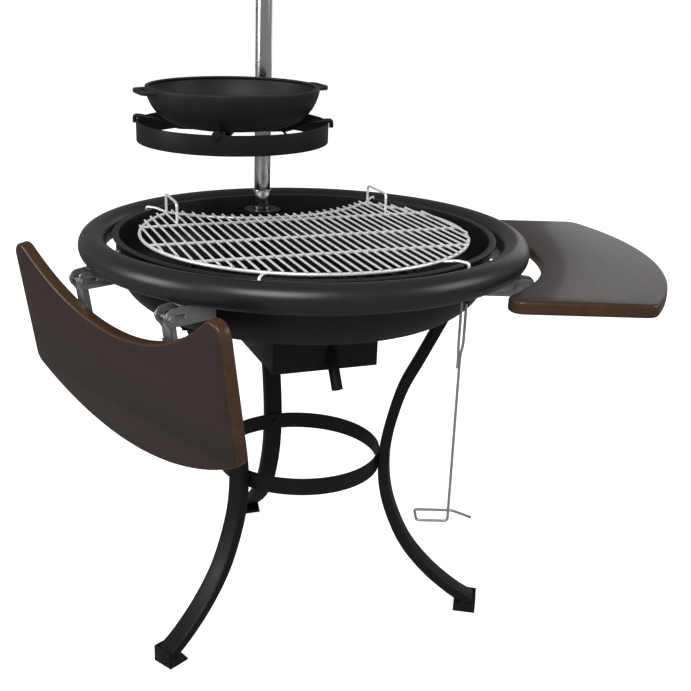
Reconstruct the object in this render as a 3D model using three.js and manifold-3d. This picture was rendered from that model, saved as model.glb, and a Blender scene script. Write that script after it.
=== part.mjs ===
// Garden barbecue on three bent legs: a fire bowl inside a rolled table ring, a wire cooking grate, two folding
// side tables, an ash drawer, and a pole that carries a swinging pan ring with a wok.
// Millimetres, +Z up, the pole at the rear (+Y). The finished group stands on z = 0, centred on its own box.
import * as THREE from "three";
import { mergeVertices } from "three/addons/utils/BufferGeometryUtils.js";
import Module from "manifold-3d";

// Clearances and fineness shared by all pieces
const seatGap = 0.3; // between pieces that rest on or are fastened to each other
const overrun = 4; // how far a cutting tool reaches past what it cuts
const weldDepth = 0.7; // how far one welded wire sinks into the other
const roundSteps = 44; // facets round the large turned pieces
const mediumRoundSteps = 32;
const smallRoundSteps = 16;
const wireSides = 6;
const barSides = 4;
const rodSides = 8;
const plateArcSteps = 2; // half the facets round an arc in a plate

// Fire bowl
const bowlRadius = 333;
const bowlWall = 4;
const bowlLipTop = 734;
const bowlLipThickness = 3;
const bowlLipWidth = 8;
const bowlLipRadius = bowlRadius + bowlLipWidth;
const bowlWallHeight = 44; // from the lip's top down to where the wall starts to curve in
const bowlWallFoot = bowlLipTop - bowlWallHeight;
const bowlDepth = 120.5;
const bowlBottom = bowlLipTop - bowlDepth;
const bowlFloorInset = 48; // how much less the floor's radius is than the wall's
const bowlBottomRadius = bowlRadius - bowlFloorInset;
const bowlBulgeDrop = 50; // how far the curve's control point lies below the wall's foot
const bowlCurveSteps = 4;
const ashMouthWidth = 140;
const ashMouthLength = 120;

// Table ring
const ringStandOff = 42.5; // from the bowl's wall to the middle of the rolled section
const ringRadius = bowlRadius + ringStandOff;
const ringSectionRadius = 24.5;
const ringSheet = 2;
const ringDrop = 18; // from the bowl's lip down to the middle of the rolled section
const ringCentreHeight = bowlLipTop - ringDrop;
const ringMouthAngle = 48; // degrees of the rolled section left open underneath
const ringSectionSteps = 8;

// Cooking grate
const grateInset = 36; // between the bowl's inside and the frame wire
const grateRadius = bowlRadius - bowlWall - grateInset;
const grateWire = 6;
const grateDrop = 3; // from the bowl's lip down to the centre of the frame wire
const grateHeight = bowlLipTop - grateDrop;
const grateBar = 4;
const gratePitch = 16.9;
const grateBarCount = 2 * Math.floor(grateRadius / gratePitch);
const grateBarOverhang = 7;
const grateCutRadius = 268;
const grateCutOffset = 100; // how far the rear cut's centre lies outside the frame wire
const grateCutCentre = grateRadius + grateCutOffset;
const grateArcSteps = 36;
const grateCutSteps = 14;
const grateCrossShares = [0.3584, -0.116, -0.5392]; // of the frame's radius
const grateHandleFront = 112;
const grateHandleRear = 204;
const grateHandleHeight = 34;
const grateHandleWire = 5;
const grateHandleBend = 10;
const grateHookAngles = [133, 46, -120.5, -59.5];
const grateHookOverhang = 5; // how far the hooks reach past the lip
const grateHookReach = bowlLipRadius + grateHookOverhang;
const grateHookDrop = 11;
const grateHookBend = 5;

// Charcoal grate
const coalInset = 63; // how much less its radius is than the bowl's floor
const coalRadius = bowlBottomRadius - coalInset;
const coalBarHeight = 12;
const coalBarWidth = 6;
const coalBarPitch = 34;
const coalStep = 1; // how far the bars stay inside the ring's height
const coalFootHeight = 22;
const coalFootSize = 12;
const coalFootTurn = 60; // degrees between a leg and a foot of this grate

// Pole, its socket and its bushes
const poleRadius = 16;
const poleWall = 2;
const poleTop = 1320;
const poleFit = 0.6;
const socketRadius = 20;
const socketFlangeRadius = 37;
const socketFlangeThickness = 6;
const socketDrop = 12; // from the bowl's lip down to the socket's flange
const socketTop = bowlLipTop - socketDrop;
const socketInset = 35; // between the flange and the bowl's wall
const poleY = bowlRadius - bowlWall - socketInset - socketFlangeRadius;
const socketBase = 3;
const socketBaseLength = 76;
const socketBaseDepth = 46;
const bushRadius = 18;
const bushHeight = 39;
const bushTop = socketTop + bushHeight;
const capHeight = 9;
const capPlug = 14;
const capWall = 2;
const pinRadius = 2.5;
const pinFit = 0.5;
const pinRise = 115.5; // from the bush up to the pin
const pinHeight = bushTop + pinRise;
const pinHoleLow = 34; // from the bush up to the lowest hole
const pinHoleStep = 125.5; // from the pin up to the next hole
const pinHolePitch = 103;
const pinHoleCount = 3; // holes above the pin
const pinTip = 24;
const pinReach = 41;
const pinTail = 22;
const pinBend = 8;

// Carrier of the pan ring, in a frame with the pole as its axis and the arm along local +X
const carrierAngle = 245.6;
const carrierSag = 1.22; // degrees the loaded carrier droops on the pole
const washerThickness = 2.5;
const washerRadius = 22;
const sleeveRadius = 21;
const sleeveWall = 4;
const sleeveHeight = 56;
const sleeveLift = 1.2; // room for the droop between the washer and the sleeve
const armRadius = 6;
const armDrop = 1.2; // how far the arm lies below the sleeve's middle
const armTail = 24;
const armHeadRadius = 7.75;
const armHeadThickness = 4;
const armRiseStart = 76; // distance past the ring's centre where the arm starts to rise
const armRiseSteps = 5;
const panRingReach = 211;
const panRingRadius = 170;
const panRingWall = 4;
const panRingRise = 15.5; // from the arm's centre line up to the band's top edge
const panRingBand = 34;
const crossRodRadius = 4;
const crossRodAngle = 3.3; // degrees the cross rods lie off square to the arm
const crossRodLow = 96; // radius inside which the cross rods stay level
const crossRodHook = 12;
const crossRodBend = 4;

// Wok, in the same frame
const wokRadius = 153;
const wokDepth = 69.9;
const wokFootRadius = 76;
const wokWall = 4.5;
const wokBulge = 27; // how far the side's control point lies outside the straight side
const wokSideSteps = 5;
const wokLipWidth = 7;
const wokLipHeight = 6;
const wokEarAngle = 5; // degrees from the row's +X to the right-hand ear
const wokEarReach = 21;
const wokEarWidth = 74;
const wokEarBar = 8;
const wokEarThickness = 8;
const wokEarDrop = 2;
const wokEarCorner = 10;

// Side tables, in a frame with local +X pointing out from the bowl
const tableAngles = { right: -20.5, left: 202 };
const boardClearance = 22.5; // between the ring and a level board
const boardInnerRadius = ringRadius + ringSectionRadius + boardClearance;
const boardDepth = 205.5;
const boardOuterRadius = boardInnerRadius + boardDepth;
const boardHalfWidth = 301.5;
const boardThickness = 22;
const boardDrop = 16; // from the middle of the ring's section down to the board's top
const boardTop = ringCentreHeight - boardDrop;
const boardCorner = 23.5;
const boardEdge = 5;
const boardCornerSteps = 4;
const boardArcSteps = 10;
const foldAngle = 98.8;
const hingeSpread = 128; // from the table's centre line to each hinge
const pivotDrop = 1; // how far the pivots lie below the boards' undersides
const pivotHeight = boardTop - boardThickness - pivotDrop;
const pivotStandOff = 32; // from the bowl's wall to the pivot's inner place
const pivotInner = bowlRadius + pivotStandOff;
const pivotTravel = 24;
const pivotOuter = pivotInner + pivotTravel;
const pivotRadius = 3;
const pivotFit = 0.9;
const pivotHoleSteps = 12;
const bracketWidth = 30;
const bracketSheet = 2;
const bracketEnd = 15; // radius of the rounded end and half the cheek's height
const bracketRoundInset = 7; // how far the rounded end's centre lies inside the pivot's outer place
const bracketRoundCentre = pivotOuter - bracketRoundInset;
const bracketShoulderLead = 3;
const bracketShoulder = pivotInner + bracketShoulderLead;
const bracketFootDrop = 9; // from the bowl's lip down to the flange's upper edge
const bracketFootTop = bowlLipTop - bracketFootDrop;
const bracketFootThickness = 3;
const armSheet = 2;
const armPlay = 0.5;
const armEyeRadius = 9.5;
const armDepth = 10;
const armPlateLead = 18; // how far the plate starts before the board's inner edge
const armPlateStart = boardInnerRadius - armPlateLead;
const armPlateGrip = 50; // how far the plate reaches under the board
const armPlateEnd = boardInnerRadius + armPlateGrip;
const armPlateWidth = 34;
const boltHeadRadius = 6;
const boltHeadThickness = 4;
const boltNutThickness = 5;

// Stays that hold the ring at the rear
const stayAngles = [64, 116];
const stayWidth = 28;

// Legs, feet and hoop
const legAngles = { rear: 90, right: -30, left: -150 };
const legWidth = 28;
const legWall = 2;
const legCorner = 3;
const legSteps = 12;
const legPlate = 3;
const legPlateLength = 62;
const legPlateWidth = 54;
const legReach = 350; // radius of the leg's lower end
const legFootHeight = 20; // height of the centre line there
const legReachShares = [0.766, 0.64, 0.56, 0.505, 0.485, 0.495, 0.545, 0.622, 0.74, 0.88, 1];
const legHeightShares = [1, 0.838, 0.728, 0.6, 0.49, 0.38, 0.28, 0.186, 0.102, 0.036, 0];
const hoopTop = 314;
const hoopBand = 32;
const hoopWall = 4;
const footSheet = 3;
const footOverhang = 10; // how far the foot reaches past the leg's end
const footLength = 42;
const footHeight = 31;
const footSlope = 22; // length of the sloping inner edge of a cheek

// Ash box
const ashHalfWidth = 98;
const ashFront = -130;
const ashRear = 110;
const ashHeight = 101.5; // from the bowl's floor down to the housing's floor
const ashFloor = bowlBottom - ashHeight;
const ashSheet = 2;
const ashRunning = 1.2;
const ashFrontLip = 1.5;
const ashTrayHeight = 80;
const ashHandleRadius = 10;
const ashHandleWall = 2;
const ashHandleRise = 33; // from the housing's floor up to the handle's upper end
const ashHandleHeight = ashFloor + ashHandleRise;
const ashHandlePlace = 10; // to the right of the panel's middle
const ashHandleReach = 35;
const ashHandleDrop = 58;

// Grate lifter and its peg
const toolAngle = -64;
const toolStandOff = 27; // from the bowl's wall to the shank
const toolRadius = bowlRadius + toolStandOff;
const toolWire = 4.6;
const pegPlateDrop = 12; // from the bowl's lip down to the peg's plate
const pegPlateTop = bowlLipTop - pegPlateDrop;
const toolDrop = 32; // from the peg's plate down to the loop's crown
const toolTop = pegPlateTop - toolDrop;
const toolNeckLength = 100;
const toolNeck = toolTop - toolNeckLength;
const toolLength = 402;
const toolFoot = toolTop - toolLength;
const toolLoopHalf = 6.5;
const toolHookWidth = 39;
const toolHookLength = 53;
const toolTailBack = 42;
const toolTailSide = 15;
const toolTurnBack = 12;
const toolBend = 7;
const toolArchSteps = 4;
const toolHeading = 160; // degrees in the row frame towards which the foot hook opens
const pegRadius = 2.5;
const pegOverhang = 9;
const pegTip = toolRadius + pegOverhang;
const pegPlateWidth = 18;
const pegPlateThickness = 3;

const wasm = await Module();
wasm.setup();

const radians = THREE.MathUtils.degToRad;
const mergeTolerance = 1e-4;

/** A closed geometry as a solid that can be joined and cut. */
function solid(geometry) {
  const bare = geometry.index ? geometry.toNonIndexed() : geometry.clone();
  bare.deleteAttribute("normal");
  bare.deleteAttribute("uv");
  const merged = mergeVertices(bare, mergeTolerance);
  const corners = merged.index.array;
  const kept = [];
  for (let i = 0; i < corners.length; i += 3) {
    const [a, b, c] = corners.subarray(i, i + 3);
    if (a !== b && b !== c && c !== a) kept.push(a, b, c);
  }
  const vertProperties = merged.attributes.position.array;
  return new wasm.Manifold(new wasm.Mesh({ numProp: 3, vertProperties, triVerts: new Uint32Array(kept) }));
}

/** A solid turned back into geometry with flat faces. */
function geometryOf(made) {
  const mesh = made.getMesh();
  const indexed = new THREE.BufferGeometry();
  indexed.setAttribute("position", new THREE.BufferAttribute(new Float32Array(mesh.vertProperties), 3));
  indexed.setIndex(new THREE.BufferAttribute(new Uint32Array(mesh.triVerts), 1));
  const faceted = indexed.toNonIndexed();
  faceted.computeVertexNormals();
  return faceted;
}

/** All the given solids as one. */
function joined(solids) {
  return solids.reduce((whole, next) => whole.add(next));
}

/** A profile of [radius, height] points turned about the upright axis. */
function turned(points, steps) {
  const profile = points.map(([radius, height]) => new THREE.Vector2(radius, height));
  return new THREE.LatheGeometry(profile, steps).rotateX(Math.PI / 2);
}

/** An upright tube between two heights. */
function tube(outer, inner, low, high, steps) {
  const points = [[inner, low], [outer, low], [outer, high], [inner, high], [inner, low]];
  return turned(points, steps);
}

/** An upright disc between two heights. */
function disc(radius, low, high, steps) {
  return turned([[0, low], [radius, low], [radius, high], [0, high]], steps);
}

/** A box between two opposite corners. */
function box(low, high) {
  const size = high.map((value, axis) => value - low[axis]);
  const middle = high.map((value, axis) => (value + low[axis]) / 2);
  return new THREE.BoxGeometry(...size).translate(...middle);
}

/** A flat outline in local X and Z, as a plate of the given thickness from y upwards. */
function uprightPlate(shape, thickness, y) {
  const plate = new THREE.ExtrudeGeometry(shape, {
    depth: thickness,
    bevelEnabled: false,
    curveSegments: plateArcSteps,
  });
  return plate.rotateX(Math.PI / 2).translate(0, y + thickness, 0);
}

/** A path through chosen stations, one for each step of an extrusion. */
class StationPath extends THREE.Curve {
  constructor(stations) {
    super();
    this.stations = stations;
  }

  getPoint(t, target = new THREE.Vector3()) {
    const place = t * (this.stations.length - 1);
    const index = Math.min(Math.floor(place), this.stations.length - 2);
    return target.lerpVectors(this.stations[index], this.stations[index + 1], place - index);
  }

  getPointAt(u, target) {
    return this.getPoint(u, target);
  }

  getTangentAt(u, target = new THREE.Vector3()) {
    const last = this.stations.length - 1;
    const index = Math.round(u * last);
    const before = this.stations[Math.max(index - 1, 0)];
    const here = this.stations[index];
    const after = this.stations[Math.min(index + 1, last)];
    const arriving = here.clone().sub(before).normalize();
    const leaving = after.clone().sub(here).normalize();
    return target.copy(arriving).add(leaving).normalize();
  }
}

/** A straight-sided route whose inner corners are rounded. */
function bentRoute(corners, bend, steps = 3) {
  const stations = [corners[0].clone()];
  for (let i = 1; i < corners.length - 1; i += 1) {
    const corner = corners[i];
    const back = corners[i - 1].clone().sub(corner).normalize().multiplyScalar(bend).add(corner);
    const ahead = corners[i + 1].clone().sub(corner).normalize().multiplyScalar(bend).add(corner);
    const turn = new THREE.QuadraticBezierCurve3(back, corner, ahead);
    stations.push(...turn.getPoints(steps));
  }
  stations.push(corners[corners.length - 1].clone());
  return stations;
}

/** A regular section whose flats face up and down on a level wire. */
function roundSection(radius, sides) {
  const shape = new THREE.Shape();
  const across = radius / Math.cos(Math.PI / sides);
  for (let i = 0; i < sides; i += 1) {
    const angle = (2 * Math.PI * (i + 0.5)) / sides;
    const x = across * Math.cos(angle);
    const y = across * Math.sin(angle);
    if (i === 0) shape.moveTo(x, y);
    else shape.lineTo(x, y);
  }
  shape.closePath();
  return shape;
}

/** A rod of the given section along a list of stations. */
function rod(stations, section) {
  const extrudePath = new StationPath(stations);
  return new THREE.ExtrudeGeometry(section, { steps: stations.length - 1, bevelEnabled: false, extrudePath });
}

/** A point at a radius, an azimuth in degrees and a height. */
function polar(radius, degrees, height) {
  return new THREE.Vector3(
    radius * Math.cos(radians(degrees)),
    radius * Math.sin(radians(degrees)),
    height,
  );
}

/** The radius whose flats, not corners, lie at the given radius. */
function circumscribed(radius, steps) {
  return radius / Math.cos(Math.PI / steps);
}

const finishes = {
  blackEnamel: { color: 0x2e2e2e, roughness: 0.55, metalness: 0.3 },
  ringPaint: { color: 0x3a3a3a, roughness: 0.45, metalness: 0.35 },
  castIron: { color: 0x242424, roughness: 0.7, metalness: 0.4 },
  chrome: { color: 0xc8c8c8, roughness: 0.15, metalness: 1 },
  zinc: { color: 0x8b8b8b, roughness: 0.4, metalness: 0.9 },
  wood: { color: 0x46342b, roughness: 0.45, metalness: 0 },
  cap: { color: 0x1a1a1a, roughness: 0.6, metalness: 0 },
};

/** Adds a named piece to a group. */
function addPiece(group, name, made, finish) {
  const mesh = new THREE.Mesh(geometryOf(made), new THREE.MeshStandardMaterial(finish));
  mesh.name = name;
  group.add(mesh);
  return mesh;
}

/** A group turned about the upright axis. */
function turnedGroup(parent, degrees) {
  const group = new THREE.Group();
  group.rotation.z = radians(degrees);
  parent.add(group);
  return group;
}

/** The pressed bowl with its flat lip and the mouth that the ash falls through. */
function fireBowl() {
  const curve = (drop) => {
    const wall = new THREE.Vector2(bowlRadius - drop, bowlWallFoot);
    const control = new THREE.Vector2(bowlRadius - drop, bowlWallFoot - bowlBulgeDrop);
    const floor = new THREE.Vector2(bowlBottomRadius - drop / 2, bowlBottom + drop);
    const points = new THREE.QuadraticBezierCurve(floor, control, wall).getPoints(bowlCurveSteps);
    return points.map((point) => [point.x, point.y]);
  };
  const outside = curve(0);
  const inside = curve(bowlWall).reverse();
  const lipUnder = bowlLipTop - bowlLipThickness;
  const profile = [
    [0, bowlBottom],
    ...outside,
    [bowlRadius, lipUnder],
    [bowlLipRadius, lipUnder],
    [bowlLipRadius, bowlLipTop],
    [bowlRadius - bowlWall, bowlLipTop],
    ...inside,
    [0, bowlBottom + bowlWall],
  ];
  const low = [-ashMouthWidth / 2, -ashMouthLength / 2, bowlBottom - overrun];
  const high = [ashMouthWidth / 2, ashMouthLength / 2, bowlBottom + bowlWall + overrun];
  return solid(turned(profile, roundSteps)).subtract(solid(box(low, high)));
}

/** The rolled sheet ring, open underneath. */
function tableRing() {
  const start = radians(-90 + ringMouthAngle / 2);
  const sweep = radians(360 - ringMouthAngle);
  const arc = (radius) => {
    const points = [];
    for (let i = 0; i <= ringSectionSteps; i += 1) {
      const angle = start + (sweep * i) / ringSectionSteps;
      points.push([ringRadius + radius * Math.cos(angle), ringCentreHeight + radius * Math.sin(angle)]);
    }
    return points;
  };
  const outside = arc(ringSectionRadius);
  const inside = arc(ringSectionRadius - ringSheet).reverse();
  return solid(turned([...outside, ...inside, outside[0]], roundSteps));
}

const ringEdgeHeight = ringCentreHeight - ringSectionRadius * Math.cos(radians(ringMouthAngle / 2));
const bracketTop = ringEdgeHeight - seatGap;

/** The rear edge of the cooking grate at a given x. */
function grateRearAt(x) {
  if (Math.abs(x) < grateCornerX) return grateCutCentre - Math.sqrt(grateCutRadius ** 2 - x ** 2);
  return Math.sqrt(grateRadius ** 2 - x ** 2);
}

const grateCornerY = (grateRadius ** 2 - grateCutRadius ** 2 + grateCutCentre ** 2) / (2 * grateCutCentre);
const grateCornerX = Math.sqrt(grateRadius ** 2 - grateCornerY ** 2);

/** The wire cooking grate with its hollowed rear edge, its two handles and the four hooks that lie on the lip. */
function cookingGrate() {
  const frameSection = roundSection(grateWire / 2, barSides);
  const barSection = roundSection(grateBar / 2, barSides);
  const handleSection = roundSection(grateHandleWire / 2, wireSides);
  const barHeight = grateHeight + grateWire / 2 + grateBar / 2 - weldDepth;
  const pieces = [];

  const cornerAngle = THREE.MathUtils.radToDeg(Math.atan2(grateCornerY, grateCornerX));
  const outer = [];
  for (let i = 0; i <= grateArcSteps; i += 1) {
    const degrees = cornerAngle - ((180 + 2 * cornerAngle) * i) / grateArcSteps;
    outer.push(polar(grateRadius, degrees, grateHeight));
  }
  pieces.push(solid(rod(outer, frameSection)));

  const cutAngle = Math.atan2(grateCornerX, grateCutCentre - grateCornerY);
  const rear = [];
  for (let i = 0; i <= grateCutSteps; i += 1) {
    const angle = cutAngle * ((2 * i) / grateCutSteps - 1);
    const x = grateCutRadius * Math.sin(angle);
    const y = grateCutCentre - grateCutRadius * Math.cos(angle);
    rear.push(new THREE.Vector3(x, y, grateHeight));
  }
  pieces.push(solid(rod(rear, frameSection)));

  for (const share of grateCrossShares) {
    const y = grateRadius * share;
    const x = Math.sqrt(grateRadius ** 2 - y ** 2);
    const height = grateHeight - weldDepth - seatGap;
    const ends = [new THREE.Vector3(-x, y, height), new THREE.Vector3(x, y, height)];
    pieces.push(solid(rod(ends, frameSection)));
  }

  for (let i = 0; i < grateBarCount; i += 1) {
    const x = (i - (grateBarCount - 1) / 2) * gratePitch;
    const front = -Math.sqrt(grateRadius ** 2 - x ** 2) - grateWire / 2;
    const back = grateRearAt(x) + grateBarOverhang;
    const ends = [new THREE.Vector3(x, front, barHeight), new THREE.Vector3(x, back, barHeight)];
    pieces.push(solid(rod(ends, barSection)));
  }

  const handleBar = Math.floor(grateCornerX / gratePitch) * gratePitch + gratePitch / 2;
  const handleX = handleBar - (grateBar + grateHandleWire) / 2 + weldDepth;
  for (const side of [-1, 1]) {
    const x = side * (handleX + gratePitch);
    const top = barHeight + grateHandleHeight;
    const route = [
      new THREE.Vector3(x, grateHandleFront, barHeight),
      new THREE.Vector3(x, grateHandleFront, top),
      new THREE.Vector3(x, grateHandleRear, top),
      new THREE.Vector3(x, grateHandleRear, grateHeight),
    ];
    pieces.push(solid(rod(bentRoute(route, grateHandleBend, 2), handleSection)));
  }

  const hookLevel = bowlLipTop + seatGap + grateHandleWire / 2;
  for (const degrees of grateHookAngles) {
    const route = [
      polar(grateRadius - grateWire, degrees, grateHeight),
      polar(grateRadius + grateWire, degrees, grateHeight),
      polar(bowlRadius - bowlWall - grateWire, degrees, hookLevel),
      polar(grateHookReach, degrees, hookLevel),
      polar(grateHookReach, degrees, hookLevel - grateHookDrop),
    ];
    pieces.push(solid(rod(bentRoute(route, grateHookBend, 2), handleSection)));
  }
  return joined(pieces);
}

/** The flat-bar grate that the charcoal lies on, with three feet. */
function charcoalGrate() {
  const low = bowlBottom + bowlWall + seatGap + coalFootHeight;
  const high = low + coalBarHeight;
  const pieces = [solid(tube(coalRadius, coalRadius - coalBarWidth, low, high, mediumRoundSteps))];
  const barCount = 2 * Math.floor((coalRadius - coalBarWidth) / coalBarPitch) + 1;
  const half = coalBarWidth / 2;
  for (let i = 0; i < barCount; i += 1) {
    const x = (i - (barCount - 1) / 2) * coalBarPitch;
    const y = Math.sqrt((coalRadius - half) ** 2 - (Math.abs(x) + half) ** 2);
    pieces.push(solid(box([x - half, -y, low + coalStep], [x + half, y, high - coalStep])));
  }
  const step = 2 * coalStep;
  pieces.push(solid(box([-coalRadius + half, -half, low + step], [coalRadius - half, half, high - step])));
  for (const degrees of Object.values(legAngles)) {
    const place = polar(coalRadius - coalBarWidth / 2, degrees + coalFootTurn, 0);
    const bottom = [place.x - coalFootSize / 2, place.y - coalFootSize / 2, low - coalFootHeight];
    const top = [place.x + coalFootSize / 2, place.y + coalFootSize / 2, high];
    pieces.push(solid(box(bottom, top)));
  }
  return joined(pieces);
}

/** The socket that stands on the bowl's floor, with its round flange under the pole's bush. */
function poleSocket() {
  const floor = bowlBottom + bowlWall + seatGap;
  const bore = poleRadius + poleFit / 2;
  const body = solid(disc(socketRadius, floor, socketTop, smallRoundSteps));
  const flange = solid(
    disc(socketFlangeRadius, socketTop - socketFlangeThickness, socketTop, smallRoundSteps),
  );
  const plate = solid(
    box(
      [-socketBaseLength / 2, -socketBaseDepth / 2, floor],
      [socketBaseLength / 2, socketBaseDepth / 2, floor + socketBase],
    ),
  );
  const hole = solid(disc(bore, floor + socketBase, socketTop + overrun, smallRoundSteps));
  return joined([body, flange, plate]).subtract(hole);
}

/** The tube with the pin holes through it. */
function pole() {
  const foot = bowlBottom + bowlWall + seatGap + socketBase + seatGap;
  let made = solid(tube(poleRadius, poleRadius - poleWall, foot, poleTop, smallRoundSteps));
  const heights = [bushTop + pinHoleLow, pinHeight];
  for (let i = 0; i < pinHoleCount; i += 1) heights.push(pinHeight + pinHoleStep + pinHolePitch * i);
  for (const height of heights) {
    const start = new THREE.Vector3(-poleRadius - overrun, 0, height);
    const end = new THREE.Vector3(poleRadius + overrun, 0, height);
    made = made.subtract(solid(rod([start, end], roundSection(pinRadius + pinFit, wireSides))));
  }
  return made;
}

/** The domed plug in the pole's top. */
function poleCap() {
  const plug = poleRadius - poleWall - seatGap;
  const base = poleTop + seatGap;
  const profile = [
    [0, poleTop - capPlug + capWall],
    [plug - capWall, poleTop - capPlug + capWall],
    [plug - capWall, poleTop - capPlug],
    [plug, poleTop - capPlug],
    [plug, base],
    [poleRadius, base],
    [poleRadius, base + capHeight / 3],
    [poleRadius * Math.cos(Math.PI / 6), base + (capHeight * 2) / 3],
    [poleRadius / 2, base + capHeight * Math.sin(Math.PI / 3)],
    [0, base + capHeight],
  ];
  return solid(turned(profile, smallRoundSteps));
}

/** The bent wire pin through the pole that the carrier's washer rests on. */
function heightPin() {
  const route = [
    new THREE.Vector3(-pinTip, 0, pinHeight),
    new THREE.Vector3(pinReach, 0, pinHeight),
    new THREE.Vector3(pinReach + pinBend, 0, pinHeight - pinBend),
    new THREE.Vector3(pinReach + pinBend, 0, pinHeight - pinTail),
  ];
  return solid(rod(bentRoute(route, pinBend / 2, 2), roundSection(pinRadius, rodSides)));
}

const washerLow = pinHeight + circumscribed(pinRadius, rodSides) + seatGap;
const sleeveLow = washerLow + washerThickness + sleeveLift;
const armHeight = sleeveLow + sleeveHeight / 2 - armDrop;
const panRingTop = armHeight + panRingRise;
const wokFoot = armHeight + armRadius + seatGap * 2;
const wokRim = wokFoot + wokDepth;
const armOffset = sleeveRadius + armRadius + seatGap;
const panCentre = new THREE.Vector3(panRingReach, -armOffset, 0);

/** The stations of the arm's centre line: level under the wok, then up into the notch of the ring. */
function armRoute() {
  const level = panRingReach + armRiseStart;
  const end = panRingReach + panRingRadius + seatGap;
  const stations = [
    new THREE.Vector3(-armTail, -armOffset, armHeight),
    new THREE.Vector3(level, -armOffset, armHeight),
  ];
  const flat = end - panRingWall * 2;
  for (let i = 1; i <= armRiseSteps; i += 1) {
    const share = i / armRiseSteps;
    const x = THREE.MathUtils.lerp(level, flat, share);
    const z = THREE.MathUtils.lerp(armHeight, panRingTop, THREE.MathUtils.smoothstep(share, 0, 1));
    stations.push(new THREE.Vector3(x, -armOffset, z));
  }
  stations.push(new THREE.Vector3(end, -armOffset, panRingTop));
  return stations;
}

/** The carrier's arm with the round head that closes it outside the ring. */
function carrierArm() {
  const route = armRoute();
  const bar = solid(rod(route, roundSection(armRadius, rodSides)));
  const end = route[route.length - 1];
  const tip = end.clone().setX(end.x + armHeadThickness);
  const head = solid(rod([end, tip], roundSection(armHeadRadius, smallRoundSteps)));
  return bar.add(head);
}

/** The flat band that takes pans, drilled at the rear and notched at the front for the arm. */
function panRing() {
  const low = panRingTop - panRingBand;
  const band = tube(panRingRadius, panRingRadius - panRingWall, low, panRingTop, roundSteps);
  const placed = solid(band.translate(panCentre.x, panCentre.y, 0));
  return placed.subtract(solid(rod(armRoute(), roundSection(armRadius + seatGap, rodSides))));
}

/** One of the two rods that run from the arm to a hook over the band. */
function crossRod(side) {
  const section = roundSection(crossRodRadius, rodSides);
  const low = armHeight + armRadius - crossRodRadius;
  const over = panRingTop + seatGap + circumscribed(crossRodRadius, rodSides);
  const outside = panRingRadius + crossRodRadius + seatGap * 2;
  const rise = panRingRadius - panRingWall - crossRodLow;
  const middle = THREE.MathUtils.lerp(low, over, 2 / 3);
  const route = [
    new THREE.Vector3(armRadius + seatGap * 2, 0, low),
    new THREE.Vector3(crossRodLow, 0, low),
    new THREE.Vector3(crossRodLow + rise / 2, 0, middle),
    new THREE.Vector3(crossRodLow + rise, 0, over),
    new THREE.Vector3(outside, 0, over),
    new THREE.Vector3(outside, 0, over - crossRodHook),
  ];
  const made = rod(bentRoute(route, crossRodBend, 2), section);
  made.rotateZ(radians(side * 90 + crossRodAngle));
  return solid(made.translate(panCentre.x, panCentre.y, 0));
}

/** The curve of the wok's side from its floor to the lip, moved inwards by a drop. */
function wokSide(drop) {
  const floor = new THREE.Vector2(wokFootRadius - drop / 2, wokFoot + drop);
  const edge = new THREE.Vector2(wokRadius - drop, wokRim - wokLipHeight);
  const control = new THREE.Vector2((floor.x + edge.x) / 2 + wokBulge, (floor.y + edge.y) / 2 - wokBulge);
  const points = new THREE.QuadraticBezierCurve(floor, control, edge).getPoints(wokSideSteps);
  return points.map((point) => [point.x, point.y]);
}

/** The cast wok with a thickened lip. */
function wok() {
  const profile = [
    [0, wokFoot],
    ...wokSide(0),
    [wokRadius, wokRim],
    [wokRadius - wokLipWidth, wokRim],
    [wokRadius - wokLipWidth, wokRim - wokLipHeight / 2],
    ...wokSide(wokWall).reverse(),
    [0, wokFoot + wokWall],
  ];
  return solid(turned(profile, mediumRoundSteps).translate(panCentre.x, panCentre.y, 0));
}

/** A flat loop handle that lies against the wok's side under the lip, turned by the given degrees. */
function wokEar(turn) {
  const inner = wokRadius - wokLipWidth * 2;
  const outer = wokRadius + wokEarReach;
  const half = wokEarWidth / 2;
  const shape = new THREE.Shape();
  shape.moveTo(inner, -half);
  shape.lineTo(outer - wokEarCorner, -half + wokEarCorner / 2);
  shape.quadraticCurveTo(outer, -half + wokEarCorner / 2, outer, -half + wokEarCorner * 2);
  shape.lineTo(outer, half - wokEarCorner * 2);
  shape.quadraticCurveTo(outer, half - wokEarCorner / 2, outer - wokEarCorner, half - wokEarCorner / 2);
  shape.lineTo(inner, half);
  shape.closePath();
  const hole = new THREE.Path();
  const slotHalf = half - wokEarBar * 1.5;
  const near = wokRadius + wokEarBar / 3;
  const far = outer - wokEarBar;
  hole.moveTo(near, -slotHalf);
  hole.lineTo(near, slotHalf);
  hole.lineTo(far, slotHalf - wokEarBar / 2);
  hole.lineTo(far, -slotHalf + wokEarBar / 2);
  hole.closePath();
  shape.holes.push(hole);
  const ear = new THREE.ExtrudeGeometry(shape, {
    depth: wokEarThickness,
    bevelEnabled: false,
    curveSegments: 3,
  });
  ear.translate(0, 0, wokRim - wokEarDrop - wokEarThickness);
  ear.rotateZ(radians(wokEarAngle - carrierAngle + turn));
  const grown = circumscribed(seatGap, mediumRoundSteps);
  const low = [0, wokFoot - overrun];
  const high = wokRim + overrun;
  const body = [low, ...wokSide(-grown), [wokRadius + grown, high], [0, high]];
  const made = solid(ear).subtract(solid(turned(body, mediumRoundSteps)));
  return made.translate([panCentre.x, panCentre.y, 0]);
}

/** Points along an arc from one angle to another. */
function arcPoints(x, y, radius, from, to, steps) {
  const points = [];
  for (let i = 0; i <= steps; i += 1) {
    const angle = THREE.MathUtils.lerp(from, to, i / steps);
    points.push(new THREE.Vector2(x + radius * Math.cos(angle), y + radius * Math.sin(angle)));
  }
  return points;
}

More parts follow.
